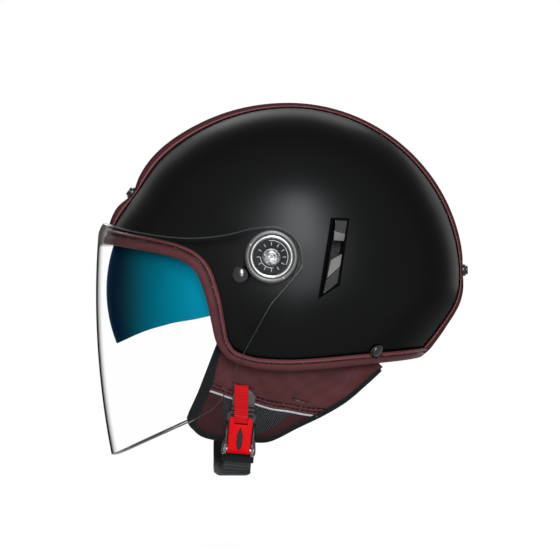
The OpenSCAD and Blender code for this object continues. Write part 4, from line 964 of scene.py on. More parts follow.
def visor_sheet(t):
    """The sheet's face at depth t: across the front it follows a squared ellipse from ear to ear (cosine
    and sine to the power 2/2.3), and at each end it closes in a half disc behind the pivot, which a straight
    line below joins to the foot."""
    turn = np.radians(90) * np.sin(np.linspace(-np.pi / 2, np.pi / 2, VISOR_COLUMNS))
    c, s = [signed_power(way(turn), 2 / VISOR_ROUND) for way in (np.cos, np.sin)]
    x = PIVOT_X - c * visor_reach(VISOR_LEVEL)
    top, foot = edge_line(VISOR_TOP, x), edge_line(VISOR_FOOT, x)
    z = blend(top, foot, bordered(VISOR_BORDER / (top - foot)))
    front = np.stack([PIVOT_X - c * (visor_reach(z) - t), np.broadcast_to(-s * (EAR_OUT - t), z.shape), z],
                     -1)
    e = np.radians(np.linspace(3, 89.4, EAR_COLUMNS))
    rise, back = EAR_R * np.cos(e), EAR_R * np.sin(e)
    top, foot = PIVOT_Z + rise, np.minimum(PIVOT_Z - rise, EAR_SLOPE * back + EAR_FOOT)
    z = blend(top, foot, bordered(np.minimum(VISOR_BORDER / (top - foot) / np.cos(e), 0.49)))
    ear = np.stack([np.broadcast_to(PIVOT_X + back, z.shape), np.full(z.shape, t - EAR_OUT), z], -1)
    return np.concatenate([ear[:, ::-1] * [1, -1, 1], front, ear], 1)


def slab(face, back):
    """Points and faces of the closed slab between two grids of points."""
    rows, columns = face.shape[:2]
    n = rows * columns
    edge = np.concatenate([np.arange(columns), np.arange(2, rows) * columns - 1,
                           np.arange(n - 1, n - columns - 1, -1), np.arange(rows - 2, 0, -1) * columns])
    faces = grid_quads(rows, columns) + grid_quads(rows, columns, first=n)
    return np.concatenate([face.reshape(-1, 3), back.reshape(-1, 3)]), faces + wall(edge, edge + n)


clear, start = new_finish("clear_visor", {"Specular IOR Level": 0.0})
x, _, z = parts(place(start))
# Painted sheen on the front lip: lighter and more opaque ahead of the lip's line and above its height.
ahead, high = [w.least(0).most(1) for w in ((LIP_X - x) / LIP_FADE_X, (z - LIP_Z) / LIP_FADE_Z)]
coat(tint(ahead * high, VISOR_TINT, LIP_SHEEN_TINT), 0.04 + 0.03 * cloud(start, 60))
grazing = start.node("LayerWeight", {}, {"Blend": 0.5}, out="Facing")
haze_and_lip_sheen = (3.2 * grazing ** 10.5 - 0.13).least(0) + 0.001 + 0.002 * cloud(start, 40) + LIP_SHEEN * ahead * high
haze_and_lip_sheen.most(1).feed("Alpha")
clear_inside, start = new_finish("clear_inside", {"Base Color": (*VISOR_TINT, 1), "Specular IOR Level": 0.0})
(0.001 + 0.003 * cloud(start, 40)).feed("Alpha")
(0.04 + 0.03 * cloud(start, 60)).feed("Roughness")
cut_edge, start = new_finish("visor_edge", {"Base Color": (0.026, 0.0268, 0.0284, 1),
                                            "Specular IOR Level": 0.10})
(0.86 + 0.1 * cloud(start, 90)).feed("Alpha")
(0.12 + 0.06 * cloud(start, 200)).feed("Roughness")
visor = piece("clear_sheet", *slab(visor_sheet(0.0), visor_sheet(VISOR_WALL)), clear, "visor", "clear_visor",
              "visor")
visor.data.materials.append(cut_edge)
visor.data.materials.append(clear_inside)
border = np.zeros((2, VISOR_ROWS - 1, VISOR_COLUMNS + 2 * EAR_COLUMNS - 1), np.int32)
border[1] = 2
border[:, [0, -1]] = 1
border = np.concatenate([border.ravel(), np.ones(len(visor.data.polygons) - border.size, np.int32)])
visor.data.polygons.foreach_set("material_index", border)
for _, hand in HANDS:
    cut_out(visor, *tube(lathe([[EAR_HOLE, -6.0], [EAR_HOLE, 6.0]], [PIVOT_X, -hand * 126.0, PIVOT_Z],
                               [0, -hand, 0], 64)))
ease_edges(visor, 0.0004, 50, 1)

# Visor studs: dark chromed domes, turned in one piece with a shank. Each is pressed through the visor's
# side, and clicks against the pivot's rest.
VISOR_STUD = [[2.1, -4.2], [2.1, 1.0], [6.5, 1.1], [6.6, 1.5], [6.3, 1.9], [6.1, 2.3], [5.3, 3.2], [4.1, 3.9],
              [2.4, 4.4], [0.6, 4.55]]
STUD_X, STUD_OUT, STUD_Z = -38.2, 126.417, 1.1
dark_chrome = metal("dark_chrome", (0.024, 0.025, 0.027), (0.06, 0.06, 0.063), 200, 0.12, 0.1, 500)
for side, hand in HANDS:
    piece("visor_dome_" + side, *tube(lathe(VISOR_STUD, [STUD_X, -hand * STUD_OUT, STUD_Z], [0, -hand, 0])),
          dark_chrome, "visor", "gunmetal", "visor_stud_" + side, crease=35)

# Sun visor: a tinted sheet with a blue mirror coating, part of an ellipsoid that turns about its own
# axis and so slides up between the shell and the foam. Round hubs carry it on pins at the sides.
SUN_HUB_R, HUB_Y, REFLECTION_FROM, REFLECTION_OVER = 16.0, 102.933, -0.142, 0.076
SUN_UPPER = np.array([[15.9, 45], [38, 37], [60, 31.5], [76, 30], [94, 30], [112.1, 30]])
SUN_LOWER = np.array([[15.9, 45], [38.7, 32], [59.3, 24.5], [74.6, 22.2], [90, 21.4], [112.1, 21.9]])
# Stops of the mirror's colour along X, from dark navy at the front to bright teal towards the sides: the teal
# is the coating's own colour, and the dark front is a painted reflection of the dark studio.
MIRROR_TINT_AND_REFLECTION = [(0.0, (0.014, 0.028, 0.034, 1)), (0.12, (0.012, 0.029, 0.037, 1)),
           (0.24, (0.007, 0.052, 0.067, 1)), (0.42, (0.0012, 0.108, 0.160, 1)),
           (0.62, (0.0006, 0.160, 0.240, 1)), (0.85, (0.0016, 0.198, 0.300, 1))]


def sun_sheet(t, columns=110, rows=44):
    """The sheet's face at depth t: a runs from side to side and b from the upper to the lower edge of the
    ellipsoid; the edges are given in degrees by the distance from the axis, and spread to end round the
    hubs."""
    end = np.arccos(SUN_HUB_R / SUN_R)
    a = np.linspace(-end, end, columns)[None]
    r = SUN_R * np.cos(a)
    b = np.radians(blend(edge_line(SUN_UPPER, r), -edge_line(SUN_LOWER, r), np.linspace(0, 1, rows)[:, None]))
    r = (SUN_R - t) * np.cos(a)
    return np.stack([SUN_X - r * np.cos(b), np.broadcast_to(-(SUN_HALF_W - t) * np.sin(a), b.shape),
                     SUN_Z + r * np.sin(b)], -1)


mirror_blue, start = new_finish("mirror_blue", {"Metallic": 1.0, "Specular Tint": (0.12, 0.3, 0.4, 1)})
# Painted reflection: the colour follows the sheet's X and darkens towards the front.
back = (parts(place(start))[0] - REFLECTION_FROM) / REFLECTION_OVER + 0.02 * (cloud(start, 25) - 0.5)
coat(start.node("ValToRGB", {"stops": MIRROR_TINT_AND_REFLECTION}, {0: back}), 0.46 + 0.06 * cloud(start, 50))
sun = piece("mirrored_sheet", *slab(sun_sheet(0.0), sun_sheet(SUN_WALL)), mirror_blue, "sun_visor",
            "mirror_blue", "sun_visor")
ease_edges(sun, 0.0006, 50)
hub_r = SUN_HUB_R * (1 - SUN_WALL / SUN_R) - FIT
HUB = [[hub_r - 0.4, -2.0], [hub_r, -1.7], [hub_r, -0.3], [hub_r - 0.4, 0.0], [6.0, 0.0], [3.4, 0.15],
       [3.0, 0.6], [3.0, 7.5], [2.6, 8.0], [0.8, 8.0]]
piece("sun_hub_discs", *gather([tube(lathe(HUB, [SUN_X, -hand * HUB_Y, SUN_Z], [0, -hand, 0]))
                                for _, hand in HANDS]),
      moulded_black, "sun_visor", "moulded_black", "sun_visor_hubs", crease=30)
for side, _ in HANDS:
    refinish("sun_bracket_" + side, moulded_black)

# Ear flaps: soft leather flaps that hang from inside the rim over the ears. Two panels lie on thin
# foam: the upper one is sewn down with two rows along its lower edge, and the lower one lies deeper.
FLAP_FIRST, FLAP_LAST, FLAP_DEPTH, FLAP_LEAN, FLAP_BOW = 64.0, 120.0, 5.3, 0.3, 2.5
FLAP_COLUMNS, FLAP_ROWS, PANEL_PROUD, PANEL_STEP, SLIT_DEEP = 240, 130, 0.40, 1.0, 1.7
TUCK_UP, TUCK_OUT, TUCK_THICK = (7.0, 3, 0, -2), np.array([0, 0, 0.1, 0.25]), 5
FLAP_FOOT = np.array([[-79.5, -112.5], [-68.5, -123], [-50, -127], [-33, -127], [-16, -126.5], [6, -115.5],
                      [26, -105.5], [43, -95], [58, -82.5], [71.5, -70.5]])
SEAM = np.array([[-0.05, 0.60], [0.0, 0.56], [0.07, 0.518], [0.102, 0.493], [0.148, 0.478], [0.203, 0.483],
                 [0.28, 0.498], [0.353, 0.523], [0.435, 0.575], [0.502, 0.668], [0.565, 0.82], [0.615, 0.948],
                 [0.66, 1.06], [0.72, 1.25], [1.05, 2.2]])
SEWN_ROWS, ROW_ENDS, ROW_PITCH = (-3.1, -5.8), (0.63, 0.64), 4.0
SLITS = (((0.53, 0.513), (0.612, 0.723)), ((0.188, 0.305), (0.323, 0.335)))
INWARD = np.array([0.0, 1.0, 0.0])


def rim_spot(s, w, t):
    """Points w above the rim at depth t, at rim numbers s that may fall between two of its points."""
    i = np.clip(np.floor(s).astype(int), 0, RIM_COUNT - 2)
    f = (s - i)[..., None]
    return sink(blend(rim[i], rim[i + 1], f) + w * unit(blend(rim_up[i], rim_up[i + 1], f)), t)


def flap_at(u, v):
    """The left flap's bare outer face: straight lines from the hem under the rim, u along it, to the foot
    line, v down it, bowed outwards by a sine of v; the foot leans out by 0.3 of its drop."""
    u, v = np.broadcast_arrays(np.asarray(u, float), np.asarray(v, float))
    hem = rim_spot(blend(FLAP_FIRST, FLAP_LAST, np.clip(u, 0, 1)), -LIP - 1.5, FLAP_DEPTH)
    p = through(FLAP_FOOT, np.clip(u, 0, 1) * (len(FLAP_FOOT) - 1))
    low = np.stack([p[..., 0], hem[..., 1] + FLAP_LEAN * (hem[..., 2] - p[..., 1]), p[..., 1]], -1)
    return blend(hem, low, v[..., None]) - FLAP_BOW * np.sin(np.pi * np.clip(v, 0, 1))[..., None] * INWARD


def flap_thick(u, v):
    """Thickness of the flap's foam: five at the edges and three more in the middle."""
    return 5 + 3 * np.sqrt(np.clip(4 * u * (1 - u), 0, 1) * np.clip(3 * v, 0, 1) * np.clip(4 * (1 - v), 0, 1))


def flap_long(u):
    """Length of the flap from hem to foot."""
    return np.linalg.norm(flap_at(u, 1.0) - flap_at(u, 0.0), axis=-1)


def below_seam(u, v):
    """Millimetres below the seam of the two panels, less than nought above it."""
    return (v - edge_line(SEAM, u)) * flap_long(u)


u_fine = np.linspace(0, 1, 400)
seam_run = run_along(flap_at(u_fine, 0.5))


def flap_relief(u, v):
    """How far the leather stands off the bare face: the upper panel is proud and steps down at the seam; two
    sewn rows are pressed in, deeper at each stitch; the slits are sunk with a lip below; slow folds fade at
    the edges."""
    down = below_seam(u, v)
    run = np.interp(u, u_fine, seam_run)
    edge = (smooth_step(v / 0.2) * smooth_step((1 - v) / 0.12) * smooth_step((u - 0.04) / 0.08)
            * smooth_step((1 - u) / 0.1))
    folds = (0.40 * np.sin(0.10 * run + 0.16 * down + 1.1 * np.sin(0.045 * run))
             + 0.24 * np.sin(0.23 * run - 0.31 * down + 1.7 * np.sin(0.06 * down + 0.03 * run))
             + 0.14 * np.sin(0.47 * run + 0.62 * down + 2.0 * np.sin(0.09 * run)))
    height = PANEL_PROUD - PANEL_STEP * smooth_step((down - 0.3) / 0.7)
    height = height + folds * edge * smooth_step((-4 - down) / 6)
    height = height + 0.22 * edge * np.sin(0.21 * run + 0.2 * down) * smooth_step((down - 3) / 4)
    pulse = 0.5 + 0.5 * np.cos(2 * np.pi * run / ROW_PITCH)
    for row in SEWN_ROWS:
        height = height - 0.85 * bell(down - row, 0.62) * (0.55 + 0.45 * pulse)
    height = height + 0.5 * bell(down + 4.45, 0.8) + 0.45 * bell(down + 1.5, 0.8)
    q = flap_at(u, v)[..., [0, 2]]
    for ends in SLITS:
        a, b = flap_at(*np.array(ends).T)[:, [0, 2]]
        long = np.linalg.norm(b - a)
        way = (b - a) / long
        along = ((q - a) * way).sum(-1)
        off = (q - a) @ np.array([way[1], -way[0]])
        near = smooth_step(along / 1.5) * smooth_step((long - along) / 1.5)
        height = height + near * (0.5 * bell(off - 1.5, 0.9) - SLIT_DEEP * np.exp(-(off / 0.8) ** 4))
    return height


def flap_face(u, v, over=0.0):
    """The leather's surface, and a distance over it: the bare face moved outwards by its relief."""
    return flap_at(u, v) - (flap_relief(*np.broadcast_arrays(u, v)) + over)[..., None] * INWARD


deep_burgundy = leather("deep_burgundy_leather", (0.020, 0.0066, 0.0076), (0.039, 0.0130, 0.0148))
flap_u, flap_v = np.linspace(0, 1, FLAP_COLUMNS)[None], np.linspace(0, 1, FLAP_ROWS)[:, None]
back = flap_at(flap_u, flap_v) + flap_thick(flap_u, flap_v)[..., None] * INWARD
tuck = np.stack([rim_spot(blend(FLAP_FIRST, FLAP_LAST, flap_u[0]), w, FLAP_DEPTH) for w in TUCK_UP])
tuck = tuck - TUCK_OUT[:, None, None] * INWARD
flap_solid = slab(np.concatenate([tuck, flap_face(flap_u, flap_v)]),
                  np.concatenate([tuck + TUCK_THICK * INWARD, back]))
deeper = below_seam((flap_u[:, 1:] + flap_u[:, :-1]) / 2, (flap_v[1:] + flap_v[:-1]) / 2) > 0.75
panel = np.full(len(flap_solid[1]), 2, np.int32)
tuck_faces = len(TUCK_UP) * (FLAP_COLUMNS - 1)
panel[:tuck_faces] = 0
panel[tuck_faces:tuck_faces + deeper.size] = deeper.ravel()
relief = flap_relief(*np.broadcast_arrays(flap_u, flap_v))
down = below_seam(flap_u, flap_v)
# Painted light on the upper panel, from the relief: painted shade in the sewn rows, the slits and the low
# parts of the folds, painted highlights on the ridges.
tone = np.where(down > -7.2, np.interp(relief, [-0.45, 0.1, 0.4, 0.9], [-2.0, -0.5, 0, 0.45]),
                np.interp(relief, [-1.3, -0.5, 0.4, 1.0], [-3, -0.22, 0, 0.22]))
flap_painted_light = np.zeros((2, len(TUCK_UP) + FLAP_ROWS, FLAP_COLUMNS))
flap_painted_light[0, len(TUCK_UP):] = tone * (down < 0.6)
for flap in pair("flap_leather_", flap_solid, burgundy, "burgundy_leather", "ear_flap_", crease=60):
    flap.data.materials.append(deep_burgundy)
    flap.data.materials.append(lining)
    flap.data.polygons.foreach_set("material_index", panel)
    lay_painted_light(flap, flap_painted_light)

# Flap sewing: two rows of dark waxed thread that hold the upper panel down above the seam, and a black
# cord sewn round each slit that a strap comes through.
CORD_R, CORD_STEPS = 0.95, 40
wine_thread = thread("wine_thread", (0.004, 0.003, 0.003), (0.13, 0.065, 0.068))


def sideways(at):
    """Straight out to the left at every point."""
    return np.broadcast_to(-INWARD, at.shape)


sewing = []
for row, end in zip(SEWN_ROWS, ROW_ENDS):
    u = np.linspace(0.075, end, 300)
    v = edge_line(SEAM, u) + row / flap_long(u)
    sewing.append(stitches(flap_face(u[v < 0.95], v[v < 0.95], 0.08), sideways, 2.2, 0.52, 3.6))
for (ua, va), (ub, vb) in SLITS:
    f = np.linspace(0, 1, CORD_STEPS)
    line = flap_at(blend(ua, ub, f), blend(va, vb, f)) + 0.35 * INWARD
    fat = CORD_R * np.sqrt(np.clip(1 - (2 * f - 1) ** 8, 0.02, 1)) * (1 + 0.12 * np.sin(f * 60))
    a = circle(10)[None, :, None]
    sewing.append(tube(line[:, None] + fat[:, None, None] * (
        np.cos(a) * INWARD + np.sin(a) * np.array([0.2, 0, 1.0]))))
pair("flap_sewing_", gather(sewing), wine_thread, "binding_black")

# Flap binding: black woven tape folded over the flap's front, lower and rear edges and sewn through.
# It is broad down the front edge and narrow along the foot.
TAPE_FRONT, TAPE_CORNER, TAPE_FOOT = 60, 9, 170
TAPE_COUNT = TAPE_FRONT + TAPE_CORNER + TAPE_FOOT
TAPE_BROAD = ([0, 0.24, 0.42, 0.56, 0.72, 0.9, 1], [0.05, 0.062, 0.077, 0.07, 0.06, 0.05, 0.05])
TAPE_NARROW = ([0, 0.05, 0.2, 0.5, 0.8, 1], [0.955, 0.95, 0.957, 0.956, 0.94, 0.90])
TAPE_REACH = ([0, 25, 38, 46, 55, 66, 90, 140, 200, 238], [1.6, 1.3, 1.2, 1.7, 2.4, 1.8, 1.6, 2.0, 3.0, 2.6])
woven_tape, start = new_finish("woven_tape", {"Specular IOR Level": 0.03})
warp, weft = waves(start, "DIAGONAL", 420.0, 0.6), waves(start, "Z", 620.0, 0.8)
weave = (warp * 0.9).least(weft)
coat(tint(0.65 * weave + 0.35 * cloud(start, 130), (0.0022, 0.0025, 0.0028), (0.0135, 0.0148, 0.0162)),
     0.72 + 0.18 * (cloud(start, 300) - 0.5), bump(weave + 0.3 * cloud(start, 5000, 2), 0.00022))

tape_v = np.concatenate([np.linspace(0.06, 0.97, TAPE_FRONT),
                         blend(0.975, 1.0, smooth_step(np.linspace(0, 1, TAPE_CORNER))), np.ones(TAPE_FOOT)])
tape_u = np.concatenate([np.zeros(TAPE_FRONT), np.linspace(0.0, 0.02, TAPE_CORNER),
                         np.linspace(0.026, 0.985, TAPE_FOOT)])
inner_u = np.maximum(tape_u, np.interp(tape_v, *TAPE_BROAD))
inner_v = np.minimum(tape_v, np.interp(tape_u, *TAPE_NARROW))
edge, lip = flap_at(tape_u, tape_v), flap_at(inner_u, inner_v)
mid = flap_at((tape_u + inner_u) / 2, (tape_v + inner_v) / 2)
out = unit(edge - lip) * np.interp(np.arange(TAPE_COUNT), *TAPE_REACH)[:, None]
edge_t, lip_t = [flap_thick(u, v)[:, None] * INWARD for u, v in ((tape_u, tape_v), (inner_u, inner_v))]
tape_places = np.stack([
    lip + 0.1 * INWARD, lip - 0.75 * INWARD, blend(lip, mid, 0.25) - 1.0 * INWARD, mid - 0.95 * INWARD,
    edge - 0.75 * INWARD, edge + 0.75 * out + 0.12 * edge_t, edge + out + 0.5 * edge_t,
    edge + 0.75 * out + 0.88 * edge_t, edge + edge_t + 0.7 * INWARD, mid + edge_t + 0.9 * INWARD,
    lip + lip_t + 0.6 * INWARD, lip + lip_t - 0.2 * INWARD])
tape_rings = through(tape_places.reshape(len(tape_places), -1), np.arange(0, len(tape_places) - 0.99, 0.25))
tape_rings = tape_rings.reshape(-1, TAPE_COUNT, 3).transpose(1, 0, 2)
tape_thread = thread("tape_thread", (0.006, 0.006, 0.0065), (0.045, 0.046, 0.048))
pair("flap_tape_", tube(tape_rings), woven_tape, "binding_black", "flap_binding_", crease=50)
pair("tape_sewing_", stitches((blend(lip, mid, 0.2) - 1.02 * INWARD)[2:], sideways, 1.5, 0.3, 3.0),
     tape_thread, "binding_black")

# Flap reflectors: a narrow piping of silver glass-bead tape round a soft cord. It is caught in the seam
# of the two panels and ends at the binding.
PIPING_FROM, PIPING_TO, PIPING_HALF, PIPING_RISE = 0.066, 0.634, 0.9, 0.85
silver_tape, start = new_finish("silver_tape", {"Specular IOR Level": 0.3})
glass = cells(start, 2600.0)
coat(tint(0.7 * cloud(start, 260) + 0.3 * glass, (0.19, 0.215, 0.23), (0.36, 0.395, 0.42)),
     0.42 + 0.2 * cloud(start, 700), bump(glass, 0.00005))
u = np.linspace(PIPING_FROM, PIPING_TO, 180)[None]
across = np.linspace(-1, 1, 7)[:, None]
v = edge_line(SEAM, u) + PIPING_HALF * across / flap_long(u)
crown = PIPING_RISE - 0.5 * across ** 2 + 0.05 * np.sin(u * 260)
pair("reflective_piping_", slab(flap_at(u, v) - crown[..., None] * INWARD, flap_at(u, v) + 0.4 * INWARD),
     silver_tape, "reflective_tape", "flap_reflector_", crease=60)

# Flap mesh: a window of black knitted spacer mesh in the lower panel, open so that sound gets through.
# It is sewn in behind the leather's edge and swells a little in the middle.
MESH_FOOT = np.array([[0.15, 0.93], [0.205, 0.943], [0.273, 0.96], [0.34, 0.955], [0.403, 0.893],
                      [0.45, 0.842], [0.49, 0.80], [0.53, 0.745]])
MESH_PITCH, MESH_SWELL = 1.5, 0.35
spacer_mesh, start = new_finish("spacer_mesh", {"Specular IOR Level": 0.02})
x, _, z = [axis * 1000 for axis in parts(place(start))]
one = ((x * 0.93 + z * 0.62) / MESH_PITCH + 0.25 * cloud(start, 500, 1)) * np.pi
two = ((x * 0.93 - z * 0.62) / MESH_PITCH + 0.25 * cloud(start, 620, 1)) * np.pi
strand = (1 - one.sine() ** 2 * two.sine() ** 2 * 1.9).least(0)
coat(tint(strand * (0.1 + 1.1 * cloud(start, 900, 2)), (0.0012, 0.0013, 0.0015), (0.060, 0.065, 0.069)),
     0.5 + 0.25 * cloud(start, 600), bump(strand, 0.0006))
a, b = np.linspace(0, 1, 80)[None], np.linspace(0, 1, 40)[:, None]
u = blend(blend(0.167, 0.205, b), 0.524, a)
v = blend(edge_line(SEAM, u) + 0.02, edge_line(MESH_FOOT, u), b)
swell = MESH_SWELL * np.sin(np.pi * b) * np.sin(np.pi * a)
pair("sound_mesh_", slab(flap_face(u, v, 0.12 + swell), flap_at(u, v) + 1.2 * INWARD), spacer_mesh,
     "mesh_black", "flap_mesh_", crease=60)

# Cheek pads: foam cushions in the same knitted lining on the inner faces of the flaps. Each is blown up
# as cloth from a thinner blank, then drawn in along two sewn channels.
PAD_U, PAD_V, PAD_GAP, PAD_THIN, PAD_THICK = (0.13, 0.71), (0.12, 0.84), 0.6, 1.5, 9.5
PAD_VOXEL, PAD_PRESSURE, PAD_CAP, PAD_FRAMES = 4.5, 4.0, 4.0, 20
PAD_CHANNELS, PAD_DRAWN = (0.32, 0.52), 2.6


def points_of(thing):
    """A mesh object's points, in millimetres from the shell's centre."""
    co = np.zeros(len(thing.data.vertices) * 3)
    thing.data.vertices.foreach_get("co", co)
    return (co.reshape(-1, 3) - ORIGIN) * 1000


def swollen(name, points, faces):
    """A blank remeshed to even quads and blown up as cloth, without weight; no point moves further than the
    cap. Returns its points and faces."""
    blank = new_object(name, points, faces)
    even = blank.modifiers.new("even", "REMESH")
    even.mode, even.voxel_size = "VOXEL", PAD_VOXEL / 1000
    settle(blank)
    before = after = points_of(blank)
    cloth = blank.modifiers.new("cloth", "CLOTH")
    cloth.settings.use_pressure, cloth.settings.uniform_pressure_force = True, PAD_PRESSURE
    cloth.settings.effector_weights.gravity = 0
    cloth.point_cache.frame_start, cloth.point_cache.frame_end = 1, PAD_FRAMES
    for moment in range(1, PAD_FRAMES + 1):
        scene.frame_set(moment)
    after = points_of(blank.evaluated_get(bpy.context.evaluated_depsgraph_get()))
    scene.frame_set(1)
    faces = [list(polygon.vertices) for polygon in blank.data.polygons]
    bpy.data.objects.remove(blank)
    move = after - before
    far = np.maximum(np.linalg.norm(move, axis=-1, keepdims=True), 1e-6)
    return before + move * np.minimum(1, PAD_CAP / far), faces


def pad_seat(u, v):
    """The flap's inner face, where the pad lies on it."""
    return flap_at(u, v) + (flap_thick(u, v) + PAD_GAP)[..., None] * INWARD


a, b = np.linspace(0, 1, 60)[None], np.linspace(0, 1, 36)[:, None]
seat = pad_seat(blend(*PAD_U, a), blend(*PAD_V, b))
domed = (np.sin(np.pi * np.clip(a, 0.02, 0.98)) * np.sin(np.pi * np.clip(b, 0.02, 0.98))) ** 0.4
cushion, faces = swollen("cheek_blank",
                         *slab(seat, seat + (PAD_THIN + PAD_THICK * domed)[..., None] * INWARD))
u, v = np.meshgrid(np.linspace(0, 1, 120), np.linspace(0, 1, 60), indexing="ij")
rest = pad_seat(u, v).reshape(-1, 3)
near = np.concatenate([((some[:, None, [0, 2]] - rest[None, :, [0, 2]]) ** 2).sum(-1).argmin(1)
                       for some in np.array_split(cushion, 12)])
cushion[:, 1] = np.maximum(cushion[:, 1], rest[near, 1])
raised = smooth_step((cushion[:, 1] - rest[near, 1]) / 6)
for channel in PAD_CHANNELS:
    cushion[:, 1] -= PAD_DRAWN * raised * bell(u.ravel()[near] - channel, 0.018)
for pad in pair("cheek_cushion_", (cushion, faces), lining, "liner_fabric", "cheek_pad_", crease=180):
    smooth = pad.modifiers.new("smooth", "SUBSURF")
    smooth.levels = smooth.render_levels = 1

# Chin straps: flat black nylon webbing. The short left one carries the buckle from its slit in the flap,
# and the long one runs from the ratchet tongue under the chin and up to the slit in the right flap.
BUCKLE_X, BUCKLE_TOP, BUCKLE_SLANT, HANG_X = -37.6, -105.0, np.radians(5), -39.0
WEB_W, WEB_NARROW, WEB_T = 21.0, 16.0, 1.8
TAIL_Z, STRAP_Y, PLATE_Y = -140.3, 95.7, 93.75


def hang(points):
    """Points of the upright buckle turned about the top of its base to the slant at which it hangs."""
    d = np.asarray(points, float) - [HANG_X, 0, BUCKLE_TOP]
    c, s = np.cos(BUCKLE_SLANT), np.sin(BUCKLE_SLANT)
    return np.stack([c * d[..., 0] + s * d[..., 2] + HANG_X, d[..., 1],
                     c * d[..., 2] - s * d[..., 0] + BUCKLE_TOP], -1)


def oblong(count, square_x, square_y):
    """A rounded oblong of half width and half depth one: cosine and sine of a turn, each to a power below
    one, which squares the corners."""
    t = circle(count)
    return signed_power(np.cos(t), square_x), signed_power(np.sin(t), square_y)


def webbing_rings(route, width, steps=14):
    """Rings of a flat band along a smooth route: a rounded oblong, flat across X, a little thicker along its
    two selvedges; also gives each point's place across and along the band."""
    line = through(route, np.linspace(0, len(route) - 1, (len(route) - 1) * steps + 1))
    run = unit(np.gradient(line, axis=0))
    flat = unit(np.array([1.0, 0, 0]) - run[:, :1] * run)
    out = np.cross(run, flat)
    wide, deep = oblong(36, 0.24, 0.5)
    hem = 1 + 0.16 * bell(np.abs(wide) - 0.9, 0.07)
    rings = (line[:, None] + (wide * width / 2)[None, :, None] * flat[:, None]
             + (deep * hem * WEB_T / 2)[None, :, None] * out[:, None])
    across = np.broadcast_to(wide * width / 2, rings.shape[:2])
    return rings, np.stack([across, np.broadcast_to(run_along(line)[:, None], across.shape), 0 * across], -1)


def lay_weave(thing, places):
    """Stores each point's place on the band, in millimetres, for the weave to follow; the two end points of
    the tube get the mean of their ring."""
    places = np.concatenate([places.reshape(-1, 3), places[0].mean(0)[None], places[-1].mean(0)[None]])
    kept = thing.data.attributes.new("weave", "FLOAT_VECTOR", "POINT")
    kept.data.foreach_set("vector", places.astype(np.float32).ravel())


def webbing_cloth(name, dark, light, rib, slope=1.0):
    """Woven band: ribs across it at a pitch in millimetres, each bent to a zigzag by the warp, with finer
    yarns between; the tops of the ribs are lighter and smoother."""
    cloth, start = new_finish(name, {"Specular IOR Level": 0.04})
    across, along, _ = parts(start.node("Attribute", {"attribute_name": "weave"}, out="Vector"))
    zigzag = across.maths("PINGPONG", across + 40, 1.1) * slope
    ribs = 0.5 + 0.5 * ((along + zigzag) * (2 * np.pi / rib)).sine()
    yarn = 0.5 + 0.5 * (across * (2 * np.pi / 0.55)).sine()
    woven = 0.7 * ribs + 0.3 * yarn
    coat(tint(0.7 * woven + 0.3 * cloud(start, 160), dark, light),
         0.66 - 0.16 * woven + 0.1 * cloud(start, 500), bump(woven, 0.00040))
    return cloth


black_webbing = webbing_cloth("black_webbing", (0.0022, 0.0024, 0.0027), (0.046, 0.048, 0.050), 2.3)
slit_x, slit_y, slit_z = flap_at(0.268, 0.395)
strap_route = np.concatenate([
    hang([[BUCKLE_X, -STRAP_Y, TAIL_Z + 3], [BUCKLE_X, -STRAP_Y, TAIL_Z - 4],
          [BUCKLE_X, -STRAP_Y, TAIL_Z - 7.5], [BUCKLE_X, -STRAP_Y + 1.5, TAIL_Z - 10],
          [BUCKLE_X, -STRAP_Y + 5, TAIL_Z - 12]]),
    [[-44, -70, -153.6], [-46, -40, -154], [-48, 0, -153.6], [-49.5, 35, -152.6], [-50, 62, -148.8],
     [-50, 78, -141.6], [-50, 85.5, -130], [-49, 89, -116], [-45, 91, -100], [slit_x, 3 - slit_y, slit_z],
     [slit_x + 1, -1.5 - slit_y, slit_z + 3.5]]])
left_route = np.concatenate([
    [[slit_x + 1, slit_y + 1.5, slit_z + 3.5], [slit_x, slit_y - 3, slit_z]],
    hang([[BUCKLE_X, 1 - PLATE_Y, BUCKLE_TOP + 12], [BUCKLE_X, -PLATE_Y, BUCKLE_TOP + 6],
          [BUCKLE_X, -PLATE_Y, BUCKLE_TOP - 0.4]])])
for name, route, width, body, node in (("webbing_right", strap_route, WEB_W, None, "chin_strap_right"),
                                       ("webbing_left", left_route, WEB_NARROW, "helmet", "chin_strap_left")):
    rings, places = webbing_rings(route, width)
    band = piece(name, *tube(rings), black_webbing, body, "webbing_black", node, crease=60)
    lay_weave(band, places)
    if not body:
        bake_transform(band)

# Buckle base: a channel folded from blackened steel sheet, with a small flange at the foot of each wall; the
# rounded edges low down are bright worn steel and painted glints. It is riveted to the left webbing, and the
# hinge pin goes through both walls.
BASE_W, BASE_SHEET, BASE_IN = 22.4, 1.5, 93.0
PLATE = np.array([[-11.2, -137.6], [-9.8, -139], [9.8, -139], [11.2, -137.6], [11.2, -106.6], [9.4, -105],
                  [-9.4, -105], [-11.2, -106.6]])
WALL = np.array([[93.0, -139], [102.6, -139], [103.9, -137.4], [103.9, -121.5], [102.8, -118.6],
                 [99.5, -114.4], [97.6, -112.6], [93.0, -112.2]])
FLANGE = np.array([[11.1, -138.6], [12.6, -138.2], [13.2, -136.4], [13.0, -131.5], [12.3, -126.5],
                   [11.1, -124.5]])
FLANGE_IN, FLANGE_OUT = 97.0, 98.0
bright_steel = metal("bright_steel", (0.09, 0.092, 0.095), (0.24, 0.243, 0.247), 240, 0.2, 0.14, 700)
black_steel, start = new_finish("black_steel", {"Metallic": 0.6, "Specular IOR Level": 0.5})
rubbed = cloud(start, 420, 5) > 0.66
coat(tint(0.16 * rubbed + 0.3 * cloud(start, 130), (0.003, 0.0032, 0.0035), (0.032, 0.0325, 0.0335)),
     0.40 + 0.16 * cloud(start, 500), bump(cloud(start, 2600, 3), 0.00002))
